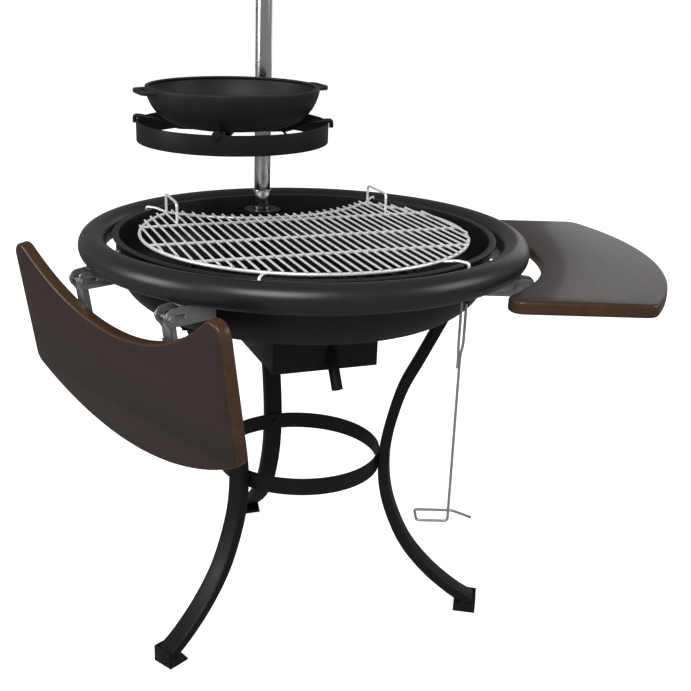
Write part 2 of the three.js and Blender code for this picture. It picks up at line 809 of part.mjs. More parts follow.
/** The outline of a board: two concentric arcs, parallel sides and rounded corners. */
function boardOutline() {
  const across = boardHalfWidth - boardCorner;
  const outerFar = boardOuterRadius - boardCorner;
  const innerFar = boardInnerRadius + boardCorner;
  const outerX = Math.sqrt(outerFar ** 2 - across ** 2);
  const innerX = Math.sqrt(innerFar ** 2 - across ** 2);
  const outerAngle = Math.atan2(across, outerX);
  const innerAngle = Math.atan2(across, innerX);
  return new THREE.Shape([
    ...arcPoints(innerX, across, boardCorner, innerAngle + Math.PI, Math.PI / 2, boardCornerSteps),
    ...arcPoints(outerX, across, boardCorner, Math.PI / 2, outerAngle, boardCornerSteps),
    ...arcPoints(0, 0, boardOuterRadius, outerAngle, -outerAngle, boardArcSteps).slice(1, -1),
    ...arcPoints(outerX, -across, boardCorner, -outerAngle, -Math.PI / 2, boardCornerSteps),
    ...arcPoints(innerX, -across, boardCorner, -Math.PI / 2, -Math.PI - innerAngle, boardCornerSteps),
    ...arcPoints(0, 0, boardInnerRadius, -innerAngle, innerAngle, boardArcSteps).slice(1, -1),
  ]);
}

/** A wooden board with rounded edges, level, its top at the board's height. */
function board() {
  const made = new THREE.ExtrudeGeometry(boardOutline(), {
    depth: boardThickness - 2 * boardEdge,
    bevelThickness: boardEdge,
    bevelSize: boardEdge,
    bevelOffset: -boardEdge,
    bevelSegments: 2,
  });
  return solid(made.translate(0, 0, boardTop - boardThickness + boardEdge));
}

/** A slot in local X and Z between two pivot places. */
function slotPath(from, to, radius, height) {
  const path = new THREE.Path();
  path.absarc(to, height, radius, -Math.PI / 2, Math.PI / 2, false);
  path.absarc(from, height, radius, Math.PI / 2, (3 * Math.PI) / 2, false);
  return path;
}

/** The bowl's outside wall as a cutting or trimming cylinder that never dips into it. */
function wallCylinder(radius) {
  const low = pivotHeight - 2 * bracketEnd;
  return solid(disc(circumscribed(radius, roundSteps), low, bracketFootTop + overrun, roundSteps));
}

/** The flange that lies against the bowl's wall and carries a bracket or a stay. */
function wallFlange(y, width, low, high) {
  const from = [bowlRadius - bracketWidth * 2, y - width / 2, low];
  const to = [bowlRadius + bracketWidth, y + width / 2, high];
  return solid(box(from, to)).intersect(wallCylinder(bowlRadius + seatGap + bracketFootThickness));
}

/** A channel bracket with a slotted, rounded cheek each side, for the hinge at the given local y. */
function hingeBracket(y) {
  const start = bowlRadius - bracketWidth * 2;
  const shape = new THREE.Shape();
  shape.moveTo(start, pivotHeight - bracketEnd);
  shape.lineTo(bracketRoundCentre, pivotHeight - bracketEnd);
  shape.absarc(bracketRoundCentre, pivotHeight, bracketEnd, -Math.PI / 2, Math.PI / 2, false);
  shape.lineTo(bracketShoulder, bracketTop);
  shape.lineTo(start, bracketTop);
  shape.closePath();
  shape.holes.push(slotPath(pivotInner, pivotOuter, pivotRadius + pivotFit, pivotHeight));
  const near = y - bracketWidth / 2;
  const far = y + bracketWidth / 2;
  const web = box([start, near, bracketTop - bracketSheet], [bracketShoulder, far, bracketTop]);
  const pieces = [
    solid(uprightPlate(shape, bracketSheet, near)),
    solid(uprightPlate(shape, bracketSheet, far - bracketSheet)),
    solid(web),
    wallFlange(y, bracketWidth, bracketTop - bracketSheet, bracketFootTop),
  ];
  return joined(pieces).subtract(wallCylinder(bowlRadius + seatGap));
}

/** A strap from the bowl's wall that the ring's edges rest on. */
function ringStay() {
  const start = bowlRadius - bracketWidth * 2;
  const end = ringRadius + ringSectionRadius / 2;
  const strap = box([start, -stayWidth / 2, bracketTop - bracketFootThickness], [end, stayWidth / 2, bracketTop]);
  const flange = wallFlange(0, stayWidth, bracketTop - bracketFootThickness, bracketFootTop);
  return solid(strap).add(flange).subtract(wallCylinder(bowlRadius + seatGap));
}

/** The folded arm under the board, with an eye on the pivot in each cheek. */
function hingeArm(y) {
  const top = boardTop - boardThickness - seatGap;
  const bottom = pivotHeight - armDepth;
  const shape = new THREE.Shape();
  shape.moveTo(pivotInner, pivotHeight - armEyeRadius);
  shape.lineTo(armPlateEnd - armDepth, bottom);
  shape.lineTo(armPlateEnd, top);
  shape.lineTo(pivotInner + armEyeRadius * 2, top);
  shape.lineTo(pivotInner + armEyeRadius, pivotHeight + armEyeRadius / 2);
  shape.absarc(pivotInner, pivotHeight, armEyeRadius, Math.PI / 6, (3 * Math.PI) / 2, false);
  const bore = pivotRadius + pivotFit;
  const eye = arcPoints(pivotInner, pivotHeight, bore, 0, 2 * Math.PI, pivotHoleSteps).slice(1);
  shape.holes.push(new THREE.Path(eye));
  const half = bracketWidth / 2 - bracketSheet - armPlay;
  const plate = box(
    [armPlateStart, y - armPlateWidth / 2, top - armSheet],
    [armPlateEnd, y + armPlateWidth / 2, top],
  );
  const web = box([pivotInner + armEyeRadius + seatGap, y - half, top - armSheet], [armPlateStart, y + half, top]);
  return joined([
    solid(web),
    solid(uprightPlate(shape, armSheet, y - half)),
    solid(uprightPlate(shape, armSheet, y + half - armSheet)),
    solid(plate),
  ]);
}

/** The pivot bolt across a bracket, with its head and nut outside the cheeks. */
function pivotBolt(y, outwards) {
  const half = bracketWidth / 2;
  const at = (side) => new THREE.Vector3(pivotInner, y + side, pivotHeight);
  const sign = outwards;
  const shank = rod(
    [at(-sign * (half + boltNutThickness + seatGap * 2)), at(sign * (half + seatGap * 2))],
    roundSection(pivotRadius, wireSides),
  );
  const head = rod(
    [at(sign * (half + seatGap)), at(sign * (half + seatGap + boltHeadThickness))],
    roundSection(boltHeadRadius, wireSides),
  );
  const nut = rod(
    [at(-sign * (half + seatGap)), at(-sign * (half + seatGap + boltNutThickness))],
    roundSection(boltHeadRadius, wireSides),
  );
  return joined([solid(shank), solid(head), solid(nut)]);
}

/** The centre line of a leg in local X and Z. */
function legRoute() {
  const top = bowlBottom - seatGap - legPlate - seatGap;
  const places = legReachShares.map((share, i) => {
    const z = THREE.MathUtils.lerp(legFootHeight, top, legHeightShares[i]);
    return new THREE.Vector3(legReach * share, 0, z);
  });
  return new THREE.CatmullRomCurve3(places, false, "centripetal").getSpacedPoints(legSteps);
}

/** A bent square tube. */
function leg() {
  const half = legWidth / 2;
  const shape = new THREE.Shape();
  const places = [[1, 1], [-1, 1], [-1, -1], [1, -1]];
  places.forEach(([x, y], i) => {
    const turn = i % 2 === 0;
    const first = [x * (turn ? half : half - legCorner), y * (turn ? half - legCorner : half)];
    const second = [x * (turn ? half - legCorner : half), y * (turn ? half : half - legCorner)];
    if (i === 0) shape.moveTo(...first);
    else shape.lineTo(...first);
    shape.lineTo(...second);
  });
  shape.closePath();
  const bore = half - legWall;
  const hole = new THREE.Path();
  hole.moveTo(bore, bore);
  hole.lineTo(bore, -bore);
  hole.lineTo(-bore, -bore);
  hole.lineTo(-bore, bore);
  hole.closePath();
  shape.holes.push(hole);
  const top = bowlBottom - seatGap - legPlate - seatGap;
  const route = legRoute();
  const first = route[0].clone().sub(route[1]).normalize().multiplyScalar(legWidth / 2).add(route[0]);
  const tubeSolid = solid(rod([first, ...route], shape));
  const above = [first.x - legWidth * 2, -legWidth, top];
  const trimmed = [first.x + legWidth * 2, legWidth, top + legWidth * 2];
  return tubeSolid.subtract(solid(box(above, trimmed)));
}

/** The plate that a leg's top is welded to, under the bowl's floor. */
function legMount() {
  const high = bowlBottom - seatGap;
  const outer = bowlBottomRadius - seatGap;
  const plate = solid(
    box([outer - legPlateLength, -legPlateWidth / 2, high - legPlate], [outer, legPlateWidth / 2, high]),
  );
  const trim = solid(disc(outer, high - legPlate - overrun, high + overrun, roundSteps));
  return plate.intersect(trim);
}

/** The least distance from the axis to the inner faces of the legs between two heights. */
function legInnerReach(low, high) {
  const route = legRoute();
  let least = legReach;
  for (let i = 1; i < route.length; i += 1) {
    const above = route[i - 1];
    const below = route[i];
    const lean = above.distanceTo(below) / (above.z - below.z);
    for (const height of [low, high, above.z, below.z]) {
      if (height < Math.max(low, below.z) || height > Math.min(high, above.z)) continue;
      const share = (above.z - height) / (above.z - below.z);
      const reach = THREE.MathUtils.lerp(above.x, below.x, share);
      least = Math.min(least, reach - (legWidth / 2) * lean);
    }
  }
  return least;
}

/** A foot bent from sheet: a flat sole, an end that closes the leg, and a cheek each side of the leg. */
function foot() {
  const inner = legWidth / 2 + seatGap;
  const end = legReach + footOverhang;
  const start = end - footLength;
  const shape = new THREE.Shape();
  shape.moveTo(start, 0);
  shape.lineTo(end, 0);
  shape.lineTo(end, footHeight);
  shape.lineTo(start + footSlope, footHeight);
  shape.lineTo(start, footSheet);
  shape.closePath();
  const outside = [end, inner + footSheet, footHeight];
  return joined([
    solid(box([start, -inner - footSheet, 0], [end, inner + footSheet, footSheet])),
    solid(box([end - footSheet, -inner - footSheet, 0], outside)),
    solid(uprightPlate(shape, footSheet, inner)),
    solid(uprightPlate(shape, footSheet, -inner - footSheet)),
  ]);
}

const ashTop = bowlBottom - seatGap;

/** The sheet housing under the bowl, open at the front and the top. */
function ashHousing() {
  const outside = box([-ashHalfWidth, ashFront + ashSheet, ashFloor], [ashHalfWidth, ashRear, ashTop]);
  const side = ashHalfWidth - ashSheet;
  const inside = box(
    [-side, ashFront - overrun, ashFloor + ashSheet],
    [side, ashRear - ashSheet, ashTop + overrun],
  );
  return solid(outside).subtract(solid(inside));
}

/** The tray and its front panel. */
function ashDrawer() {
  const side = ashHalfWidth - ashSheet - ashRunning;
  const low = ashFloor + ashSheet + seatGap;
  const front = ashFront + ashSheet - seatGap;
  const rear = ashRear - ashSheet - ashRunning;
  const top = low + ashTrayHeight;
  const outside = solid(box([-side, front - ashSheet / 2, low], [side, rear, top]));
  const inside = solid(
    box([-side + ashSheet, front, low + ashSheet], [side - ashSheet, rear - ashSheet, top + overrun]),
  );
  const panel = solid(
    box(
      [-ashHalfWidth, front - ashSheet, ashFloor],
      [ashHalfWidth, front, ashTop - ashFrontLip],
    ),
  );
  return joined([outside.subtract(inside), panel]);
}

/** The open tube that the drawer is pulled by. */
function ashHandle() {
  const front = ashFront - seatGap * 2;
  const start = new THREE.Vector3(ashHandlePlace, front + ashHandleRadius, ashHandleHeight + ashHandleRadius);
  const end = new THREE.Vector3(ashHandlePlace, ashFront - ashHandleReach, ashHandleHeight - ashHandleDrop);
  const outside = solid(rod([start, end], roundSection(ashHandleRadius, smallRoundSteps)));
  const bore = ashHandleRadius - ashHandleWall;
  const inside = solid(rod([start, end], roundSection(bore, smallRoundSteps)));
  const high = ashHandleHeight + 3 * ashHandleRadius;
  const low = ashHandleHeight - 3 * ashHandleRadius;
  const wall = box([-ashHalfWidth, front, low], [ashHalfWidth, front + ashHalfWidth, high]);
  return outside.subtract(inside).subtract(solid(wall));
}

/** The peg under the ring that the grate lifter hangs on, in the lifter's local frame. */
function toolPeg() {
  const wire = toolWire / 2;
  const height = toolTop - wire - circumscribed(wire, wireSides) - seatGap - pegRadius;
  const low = height - pegPlateWidth / 2;
  const start = bowlRadius - pegPlateWidth;
  const flangeLow = bowlWallFoot;
  const flange = wallFlange(0, pegPlateWidth, flangeLow, pegPlateTop);
  const tongue = box(
    [bowlRadius - pegPlateWidth, -pegPlateWidth / 2, low],
    [bowlRadius + seatGap + pegPlateThickness, pegPlateWidth / 2, flangeLow + overrun],
  );
  const ends = [new THREE.Vector3(start, 0, height), new THREE.Vector3(pegTip, 0, height)];
  const peg = rod(ends, roundSection(pegRadius, rodSides));
  return joined([flange, solid(tongue), solid(peg)]).subtract(wallCylinder(bowlRadius + seatGap));
}

/** The bent-wire grate lifter: a hanging loop, a shank and a flat hook at the foot. */
function grateLifter() {
  const heading = radians(toolHeading - toolAngle);
  const along = new THREE.Vector3(Math.cos(heading), Math.sin(heading), 0);
  const across = new THREE.Vector3(-Math.sin(heading), Math.cos(heading), 0);
  const centre = new THREE.Vector3(toolRadius, 0, 0);
  const at = (forward, sideways, z) =>
    centre.clone().addScaledVector(along, forward).addScaledVector(across, sideways).setZ(z);
  const wire = toolWire / 2;
  const crown = toolTop - wire;
  const loopSide = (y, z) => new THREE.Vector3(toolRadius, y, z);
  const neckRise = toolLoopHalf * 3;
  const upper = [
    at(0, 0, toolFoot + wire),
    at(0, 0, toolNeck),
    loopSide(toolLoopHalf, toolNeck + neckRise),
    loopSide(toolLoopHalf, crown - toolLoopHalf),
  ];
  const arch = [];
  for (let i = 1; i < toolArchSteps; i += 1) {
    const angle = (Math.PI * i) / toolArchSteps;
    arch.push(
      loopSide(toolLoopHalf * Math.cos(angle), crown - toolLoopHalf + toolLoopHalf * Math.sin(angle)),
    );
  }
  const end = [
    loopSide(-toolLoopHalf, crown - toolLoopHalf),
    loopSide(-toolLoopHalf, toolNeck + neckRise),
    loopSide(-toolWire - seatGap, toolNeck),
    loopSide(-toolWire - seatGap, toolNeck - neckRise),
  ];
  const foot = toolFoot + wire;
  const low = [
    at(-toolTailBack, -toolTailSide, foot),
    at(-toolTurnBack, -toolHookWidth, foot),
    at(toolHookLength, -toolHookWidth, foot),
    at(toolHookLength, 0, foot),
    at(0, 0, foot),
  ];
  const lower = bentRoute([...low, upper[1]], toolBend, 2);
  lower.pop();
  const middle = bentRoute(upper.slice(1).concat(arch[0]), toolBend, 2);
  middle.pop();
  const tailEnd = bentRoute(end, toolBend, 2);
  const section = roundSection(wire, wireSides);
  return solid(rod([...lower, upper[1], ...middle.slice(1), ...arch, ...tailEnd], section));
}

const grill = new THREE.Group();

addPiece(grill, "fire_bowl", fireBowl(), finishes.blackEnamel);
addPiece(grill, "table_ring", tableRing(), finishes.ringPaint);
addPiece(grill, "cooking_grate", cookingGrate(), finishes.chrome);
addPiece(grill, "charcoal_grate", charcoalGrate(), finishes.castIron);

const mast = new THREE.Group();
mast.position.y = poleY;
grill.add(mast);
addPiece(mast, "pole_socket", poleSocket(), finishes.blackEnamel);
addPiece(mast, "pole", pole(), finishes.chrome);
const bushBore = poleRadius + poleFit / 2;
const bush = solid(tube(bushRadius, bushBore, socketTop + seatGap, bushTop, smallRoundSteps));
addPiece(mast, "pole_bush", bush, finishes.chrome);
addPiece(mast, "pole_cap", poleCap(), finishes.cap);
addPiece(mast, "height_pin", heightPin(), finishes.blackEnamel);
const washer = solid(tube(washerRadius, bushBore, washerLow, washerLow + washerThickness, smallRoundSteps));
addPiece(mast, "rest_washer", washer, finishes.zinc);

const swing = turnedGroup(mast, carrierAngle);
const carrier = new THREE.Group();
const sagHeight = sleeveLow + sleeveHeight / 2;
carrier.position.z = sagHeight;
carrier.rotation.y = radians(carrierSag);
swing.add(carrier);
const carried = new THREE.Group();
carried.position.z = -sagHeight;
carrier.add(carried);
const sleeveBore = sleeveRadius - sleeveWall;
const sleeve = solid(tube(sleeveRadius, sleeveBore, sleeveLow, sleeveLow + sleeveHeight, smallRoundSteps));
addPiece(carried, "swing_sleeve", sleeve, finishes.blackEnamel);
addPiece(carried, "carrier_arm", carrierArm(), finishes.blackEnamel);
addPiece(carried, "pan_ring", panRing(), finishes.blackEnamel);
addPiece(carried, "cross_rod_right", crossRod(1), finishes.blackEnamel);
addPiece(carried, "cross_rod_left", crossRod(-1), finishes.blackEnamel);
addPiece(carried, "wok", wok(), finishes.castIron);
addPiece(carried, "wok_ear_right", wokEar(0), finishes.castIron);
addPiece(carried, "wok_ear_left", wokEar(180), finishes.castIron);

for (const [side, degrees] of Object.entries(tableAngles)) {
  const table = turnedGroup(grill, degrees);
  const folded = side === "left";
  const slid = new THREE.Group();
  slid.position.x = folded ? pivotOuter - pivotInner : 0;
  table.add(slid);
  const pivot = new THREE.Group();
  pivot.position.set(pivotInner, 0, pivotHeight);
  pivot.rotation.y = folded ? radians(foldAngle) : 0;
  slid.add(pivot);
  const leaf = new THREE.Group();
  leaf.position.set(-pivotInner, 0, -pivotHeight);
  pivot.add(leaf);
  addPiece(leaf, `side_board_${side}`, board(), finishes.wood);
  for (const [end, sign] of [["front", side === "right" ? -1 : 1], ["rear", side === "right" ? 1 : -1]]) {
    const y = sign * hingeSpread;
    addPiece(table, `hinge_bracket_${side}_${end}`, hingeBracket(y), finishes.zinc);
    addPiece(slid, `pivot_bolt_${side}_${end}`, pivotBolt(y, sign), finishes.zinc);
    addPiece(leaf, `hinge_arm_${side}_${end}`, hingeArm(y), finishes.zinc);
  }
}

stayAngles.forEach((degrees, i) => {
  addPiece(turnedGroup(grill, degrees), `ring_stay_${i + 1}`, ringStay(), finishes.blackEnamel);
});

for (const [name, degrees] of Object.entries(legAngles)) {
  const corner = turnedGroup(grill, degrees);
  addPiece(corner, `leg_${name}`, leg(), finishes.blackEnamel);
  addPiece(corner, `leg_mount_${name}`, legMount(), finishes.blackEnamel);
  addPiece(corner, `foot_${name}`, foot(), finishes.blackEnamel);
}
const hoopRadius = legInnerReach(hoopTop - hoopBand, hoopTop) - seatGap;
const hoop = solid(tube(hoopRadius, hoopRadius - hoopWall, hoopTop - hoopBand, hoopTop, mediumRoundSteps));
addPiece(grill, "leg_hoop", hoop, finishes.blackEnamel);

addPiece(grill, "ash_housing", ashHousing(), finishes.blackEnamel);
addPiece(grill, "ash_drawer", ashDrawer(), finishes.blackEnamel);
addPiece(grill, "ash_handle", ashHandle(), finishes.blackEnamel);

const toolCorner = turnedGroup(grill, toolAngle);
addPiece(toolCorner, "tool_peg", toolPeg(), finishes.blackEnamel);
addPiece(toolCorner, "grate_lifter", grateLifter(), finishes.chrome);

// The group is moved so that its box stands on z = 0 with its middle on the axis.
const whole = new THREE.Group();
whole.add(grill);
grill.updateMatrixWorld(true);
const bounds = new THREE.Box3().setFromObject(grill, true);
const middle = bounds.getCenter(new THREE.Vector3());
grill.position.set(-middle.x, -middle.y, -bounds.min.z);

export default whole;
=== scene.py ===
"""Garden barbecue: a fire bowl in a rolled ring, a wire grate, two folding boards and a swinging wok."""

import logging
import math
from collections.abc import Iterable, Sequence
from dataclasses import dataclass
from enum import Enum

import bmesh
import bpy
from mathutils import Matrix, Vector


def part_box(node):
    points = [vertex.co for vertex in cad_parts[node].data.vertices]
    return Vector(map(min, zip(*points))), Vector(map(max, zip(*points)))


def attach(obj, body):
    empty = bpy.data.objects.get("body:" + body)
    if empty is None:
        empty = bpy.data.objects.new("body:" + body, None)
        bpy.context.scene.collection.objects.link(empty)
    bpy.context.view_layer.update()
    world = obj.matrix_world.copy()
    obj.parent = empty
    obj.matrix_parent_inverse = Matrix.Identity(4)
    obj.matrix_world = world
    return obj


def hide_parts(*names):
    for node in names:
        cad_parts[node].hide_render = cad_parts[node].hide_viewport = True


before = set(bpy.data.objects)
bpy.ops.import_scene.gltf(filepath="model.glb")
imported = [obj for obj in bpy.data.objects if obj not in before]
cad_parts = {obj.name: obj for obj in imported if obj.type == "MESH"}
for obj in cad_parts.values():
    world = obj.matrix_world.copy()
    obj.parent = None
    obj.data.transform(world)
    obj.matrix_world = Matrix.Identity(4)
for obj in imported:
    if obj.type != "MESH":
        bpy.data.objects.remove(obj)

log = logging.getLogger("barbecue")

MM = 0.001
SEAT = 0.3  # millimetres between pieces that rest on each other
TINY = 1e-6
CURVE_STEPS = 24  # stations between two places of a smooth route, before they are spread evenly
SMOOTH_ANGLE = math.radians(32)  # the largest angle between facets that reads as one curved surface

Colour = tuple[float, float, float]
Point = tuple[float, float]
Shape = bmesh.types.BMesh


class Body(Enum):
    """The rigid bodies of the frame."""

    STAND = "stand"
    LIFT = "lift"
    CARRIER = "carrier"
    WOK = "wok"
    PIN = "pin"
    COOKING_GRATE = "cooking_grate"
    CHARCOAL_GRATE = "charcoal_grate"
    RIGHT_PIVOTS = "right_pivots"
    RIGHT_TABLE = "right_table"
    LEFT_PIVOTS = "left_pivots"
    LEFT_TABLE = "left_table"
    DRAWER = "drawer"
    LIFTER = "lifter"


class Slot(Enum):
    """The record's material slots."""

    BOWL = "bowl_enamel"
    RING = "ring_paint"
    STEEL = "black_steel"
    IRON = "cast_iron"
    WIRE = "grate_wire"
    POLE = "pole_chrome"
    ZINC = "zinc"
    WOOD = "board_wood"
    CAP = "cap_plastic"


class Side(Enum):
    """The two side tables: right is in use, left hangs folded."""

    RIGHT = "right"
    LEFT = "left"


# Node graphs


class Value:
    """A node's output that adds Math nodes when it stands in an expression."""

    def __init__(self, graph: "Graph", socket: bpy.types.NodeSocket) -> None:
        """Wraps one output socket of a graph."""
        self.graph = graph
        self.socket = socket

    def _math(self, operation: str, *terms: "Value | float") -> "Value":
        """Adds one Math node on the given terms."""
        return self.graph.add("ShaderNodeMath", {"operation": operation}, dict(enumerate(terms)))

    def __add__(self, other: "Value | float") -> "Value":
        """Sum."""
        return self._math("ADD", self, other)

    def __sub__(self, other: "Value | float") -> "Value":
        """Difference."""
        return self._math("SUBTRACT", self, other)

    def __rsub__(self, other: float) -> "Value":
        """Difference from a number."""
        return self._math("SUBTRACT", other, self)

    def __mul__(self, other: "Value | float") -> "Value":
        """Product."""
        return self._math("MULTIPLY", self, other)

    def __truediv__(self, other: "Value | float") -> "Value":
        """Quotient."""
        return self._math("DIVIDE", self, other)

    def __pow__(self, power: float) -> "Value":
        """Power."""
        return self._math("POWER", self, power)

    def __neg__(self) -> "Value":
        """Negative."""
        return self * -1

    def __lt__(self, other: "Value | float") -> "Value":
        """One where this is the smaller, else zero."""
        return self._math("LESS_THAN", self, other)

    __radd__ = __add__
    __rmul__ = __mul__

    def root(self) -> "Value":
        """Square root of the part above zero."""
        return self._math("SQRT", self._math("MAXIMUM", self, 0.0))

    def size(self) -> "Value":
        """Value without its sign."""
        return self._math("ABSOLUTE", self)

    def clipped(self) -> "Value":
        """Value held between zero and one."""
        return self._math("MINIMUM", self._math("MAXIMUM", self, 0.0), 1.0)


class Graph:
    """A node tree that is written one call per node."""

    def __init__(self, tree: bpy.types.NodeTree) -> None:
        """Wraps a shader or geometry node tree."""
        self.tree = tree

    def feed(self, socket: bpy.types.NodeSocket, value: object) -> None:
        """Links a value to a socket, or sets the socket to it.

        Args:
            socket: the input to set or to link.
            value: a number, colour, vector or output.
        """
        if isinstance(value, Value):
            self.tree.links.new(value.socket, socket)
        else:
            socket.default_value = value

    def add(
        self,
        kind: str,
        settings: dict[str, object] | None = None,
        sockets: dict[int | str, object] | None = None,
        output: int | str = 0,
    ) -> Value | None:
        """Adds a node.

        Args:
            kind: the node's type.
            settings: its properties, set first.
            sockets: values or links of its inputs, by name or number.
            output: which output is wanted.

        Returns:
            The chosen output, or None for a node without outputs.
        """
        node = self.tree.nodes.new(kind)
        for name, setting in (settings or {}).items():
            setattr(node, name, setting)
        for key, value in (sockets or {}).items():
            self.feed(node.inputs[key], value)
        return Value(self, node.outputs[output]) if node.outputs else None

    def blend(self, factor: Value, first: Colour | Value, second: Colour | Value) -> Value:
        """Mixes two colours by a factor from zero to one.

        Args:
            factor: share of the second colour.
            first: the colour at zero.
            second: the colour at one.

        Returns:
            The mixed colour.
        """
        ends = {6: first, 7: second}
        ends = {key: end if isinstance(end, Value) else (*end, 1) for key, end in ends.items()}
        return self.add("ShaderNodeMix", {"data_type": "RGBA"}, {0: factor, **ends}, 2)


# Finishes


def new_material(name: str) -> tuple[bpy.types.Material, Graph, bpy.types.Node]:
    """A material with its graph and its Principled shader.

    Args:
        name: the material's name.

    Returns:
        The material, its graph and its shader.
    """
    material = bpy.data.materials.new(name)
    material.use_nodes = True
    shader = material.node_tree.nodes["Principled BSDF"]
    return material, Graph(material.node_tree), shader


@dataclass(frozen=True)
class Finish:
    """A painted, plated or cast surface.

    Lengths are in metres. The mottle shifts the colour and the roughness by a share of themselves.
    """

    name: str
    slot: Slot
    colour: Colour
    roughness: float
    metallic: float = 0.0
    specular: float = 0.5
    mottle: float = 0.1
    mottle_size: float = 0.04
    wear: float = 0.12
    grit: float = 0.0
    grit_size: float = 0.0012

    def material(self) -> bpy.types.Material:
        """Builds the material, once.

        Returns:
            The material, the same one at each call.
        """
        if self.name in bpy.data.materials:
            return bpy.data.materials[self.name]
        material, graph, shader = new_material(self.name)
        place = graph.add("ShaderNodeTexCoord", output="Object")
        noise = {"Vector": place, "Scale": 1 / self.mottle_size, "Detail": 4.0, "Roughness": 0.6}
        cloud = graph.add("ShaderNodeTexNoise", None, noise)
        dark = tuple(channel * (1 - self.mottle) for channel in self.colour)
        light = tuple(channel * (1 + self.mottle) for channel in self.colour)
        graph.feed(shader.inputs["Base Color"], graph.blend(((cloud - 0.5) * 2 + 0.5).clipped(), dark, light))
        graph.feed(shader.inputs["Roughness"], self.roughness + (cloud - 0.5) * self.wear)
        graph.feed(shader.inputs["Metallic"], self.metallic)
        graph.feed(shader.inputs["Specular IOR Level"], self.specular)
        if self.grit:
            noise = {"Vector": place, "Scale": 1 / self.grit_size, "Detail": 3.0, "Roughness": 0.7}
            grain = graph.add("ShaderNodeTexNoise", None, noise)
            bump = {"Height": grain, "Strength": 1.0, "Distance": self.grit}
            graph.feed(shader.inputs["Normal"], graph.add("ShaderNodeBump", None, bump))
        return material


@dataclass(frozen=True)
class Timber:
    """Stained hardwood under a satin varnish, glued up from strips that run along one direction.

    Lengths are in metres. The pattern's frame is the board's own, so that the grain follows the board.
    """

    name: str
    place: Matrix
    dark: Colour
    light: Colour
    pore: Colour
    roughness: float
    coat: float
    slot: Slot = Slot.WOOD
    strip: float = 0.043
    grain_width: float = 0.004
    grain_length: float = 0.22
    broad: float = 6  # size of the slow changes of tone against the grain's
    strip_share: float = 0.45
    broad_share: float = 1.3
    grain_share: float = 0.7
    pore_level: float = 0.36
    pore_gain: float = 7
    pore_share: float = 0.5
    wear: float = 0.1
    coat_roughness: float = 0.12
    specular: float = 0.2
    relief: float = 0.0003

    def material(self) -> bpy.types.Material:
        """Builds the material, once.

        Returns:
            The material, the same one at each call.
        """
        if self.name in bpy.data.materials:
            return bpy.data.materials[self.name]
        material, graph, shader = new_material(self.name)
        inverse = self.place.inverted()
        place = graph.add("ShaderNodeTexCoord", output="Object")
        turned = {"Vector": place, "Rotation": inverse.to_euler(), "Location": inverse.translation}
        local = graph.add("ShaderNodeMapping", {"vector_type": "POINT"}, turned)
        across = graph.add("ShaderNodeSeparateXYZ", None, {"Vector": local}, "X")
        number = graph.add("ShaderNodeMath", {"operation": "FLOOR"}, {0: across / self.strip})
        tint = graph.add("ShaderNodeTexWhiteNoise", {"noise_dimensions": "1D"}, {"W": number}, "Value")
        shift = graph.add("ShaderNodeCombineXYZ", None, {"X": 0.0, "Y": tint * 3, "Z": tint})
        strip_place = graph.add("ShaderNodeVectorMath", {"operation": "ADD"}, {0: local, 1: shift})
        squeeze = (1 / self.grain_width, 1 / self.grain_length, 1 / self.grain_width)
        stretched = graph.add("ShaderNodeMapping", None, {"Vector": strip_place, "Scale": squeeze})
        streak = graph.add("ShaderNodeTexNoise", None, {"Vector": stretched, "Scale": 1.0, "Detail": 5.0})
        broad = tuple(scale / self.broad for scale in squeeze)
        wide = graph.add("ShaderNodeMapping", None, {"Vector": strip_place, "Scale": broad})
        cloud = graph.add("ShaderNodeTexNoise", None, {"Vector": wide, "Scale": 1.0, "Detail": 3.0})
        change = (tint - 0.5) * self.strip_share + (cloud - 0.5) * self.broad_share
        tone = (change + (streak - 0.5) * self.grain_share + 0.5).clipped()
        face = graph.blend(tone, self.dark, self.light)
        pores = ((self.pore_level - streak) * self.pore_gain).clipped()
        graph.feed(shader.inputs["Base Color"], graph.blend(pores * self.pore_share, face, self.pore))
        graph.feed(shader.inputs["Roughness"], self.roughness + (cloud - 0.5) * self.wear)
        graph.feed(shader.inputs["Coat Weight"], self.coat)
        graph.feed(shader.inputs["Coat Roughness"], self.coat_roughness)
        graph.feed(shader.inputs["Specular IOR Level"], self.specular)
        bump = {"Height": streak, "Strength": 0.35, "Distance": self.relief}
        graph.feed(shader.inputs["Normal"], graph.add("ShaderNodeBump", None, bump))
        return material


ENAMEL = Finish("bowl enamel", Slot.BOWL, (0.007, 0.007, 0.0073), 0.42, specular=0.25, mottle_size=0.06)
RING_PAINT = Finish(
    "ring paint", Slot.RING, (0.009, 0.009, 0.0093), 0.33, specular=0.38, mottle_size=0.08, grit=0.00002
)
BLACK_STEEL = Finish("black steel", Slot.STEEL, (0.006, 0.006, 0.0063), 0.42, specular=0.18, grit=0.00003)
CAST_IRON = Finish(
    "cast iron",
    Slot.IRON,
    (0.008, 0.008, 0.008),
    0.5,
    specular=0.24,
    mottle=0.2,
    grit=0.00012,
    grit_size=0.002,
)
CHROME_WIRE = Finish("chromed wire", Slot.WIRE, (0.8, 0.8, 0.8), 0.28, metallic=0.5, mottle=0.05)
TOOL_WIRE = Finish("plated tool wire", Slot.WIRE, (0.3, 0.3, 0.3), 0.3, metallic=0.7, mottle=0.05)
POLE_CHROME = Finish("polished tube", Slot.POLE, (0.7, 0.7, 0.71), 0.13, metallic=1.0, mottle=0.03, wear=0.05)
ZINC = Finish("zinc plate", Slot.ZINC, (0.3, 0.3, 0.305), 0.34, metallic=0.85, mottle=0.15, mottle_size=0.01)
CAP_PLASTIC = Finish("cap plastic", Slot.CAP, (0.012, 0.012, 0.012), 0.5)


# Shapes, in millimetres


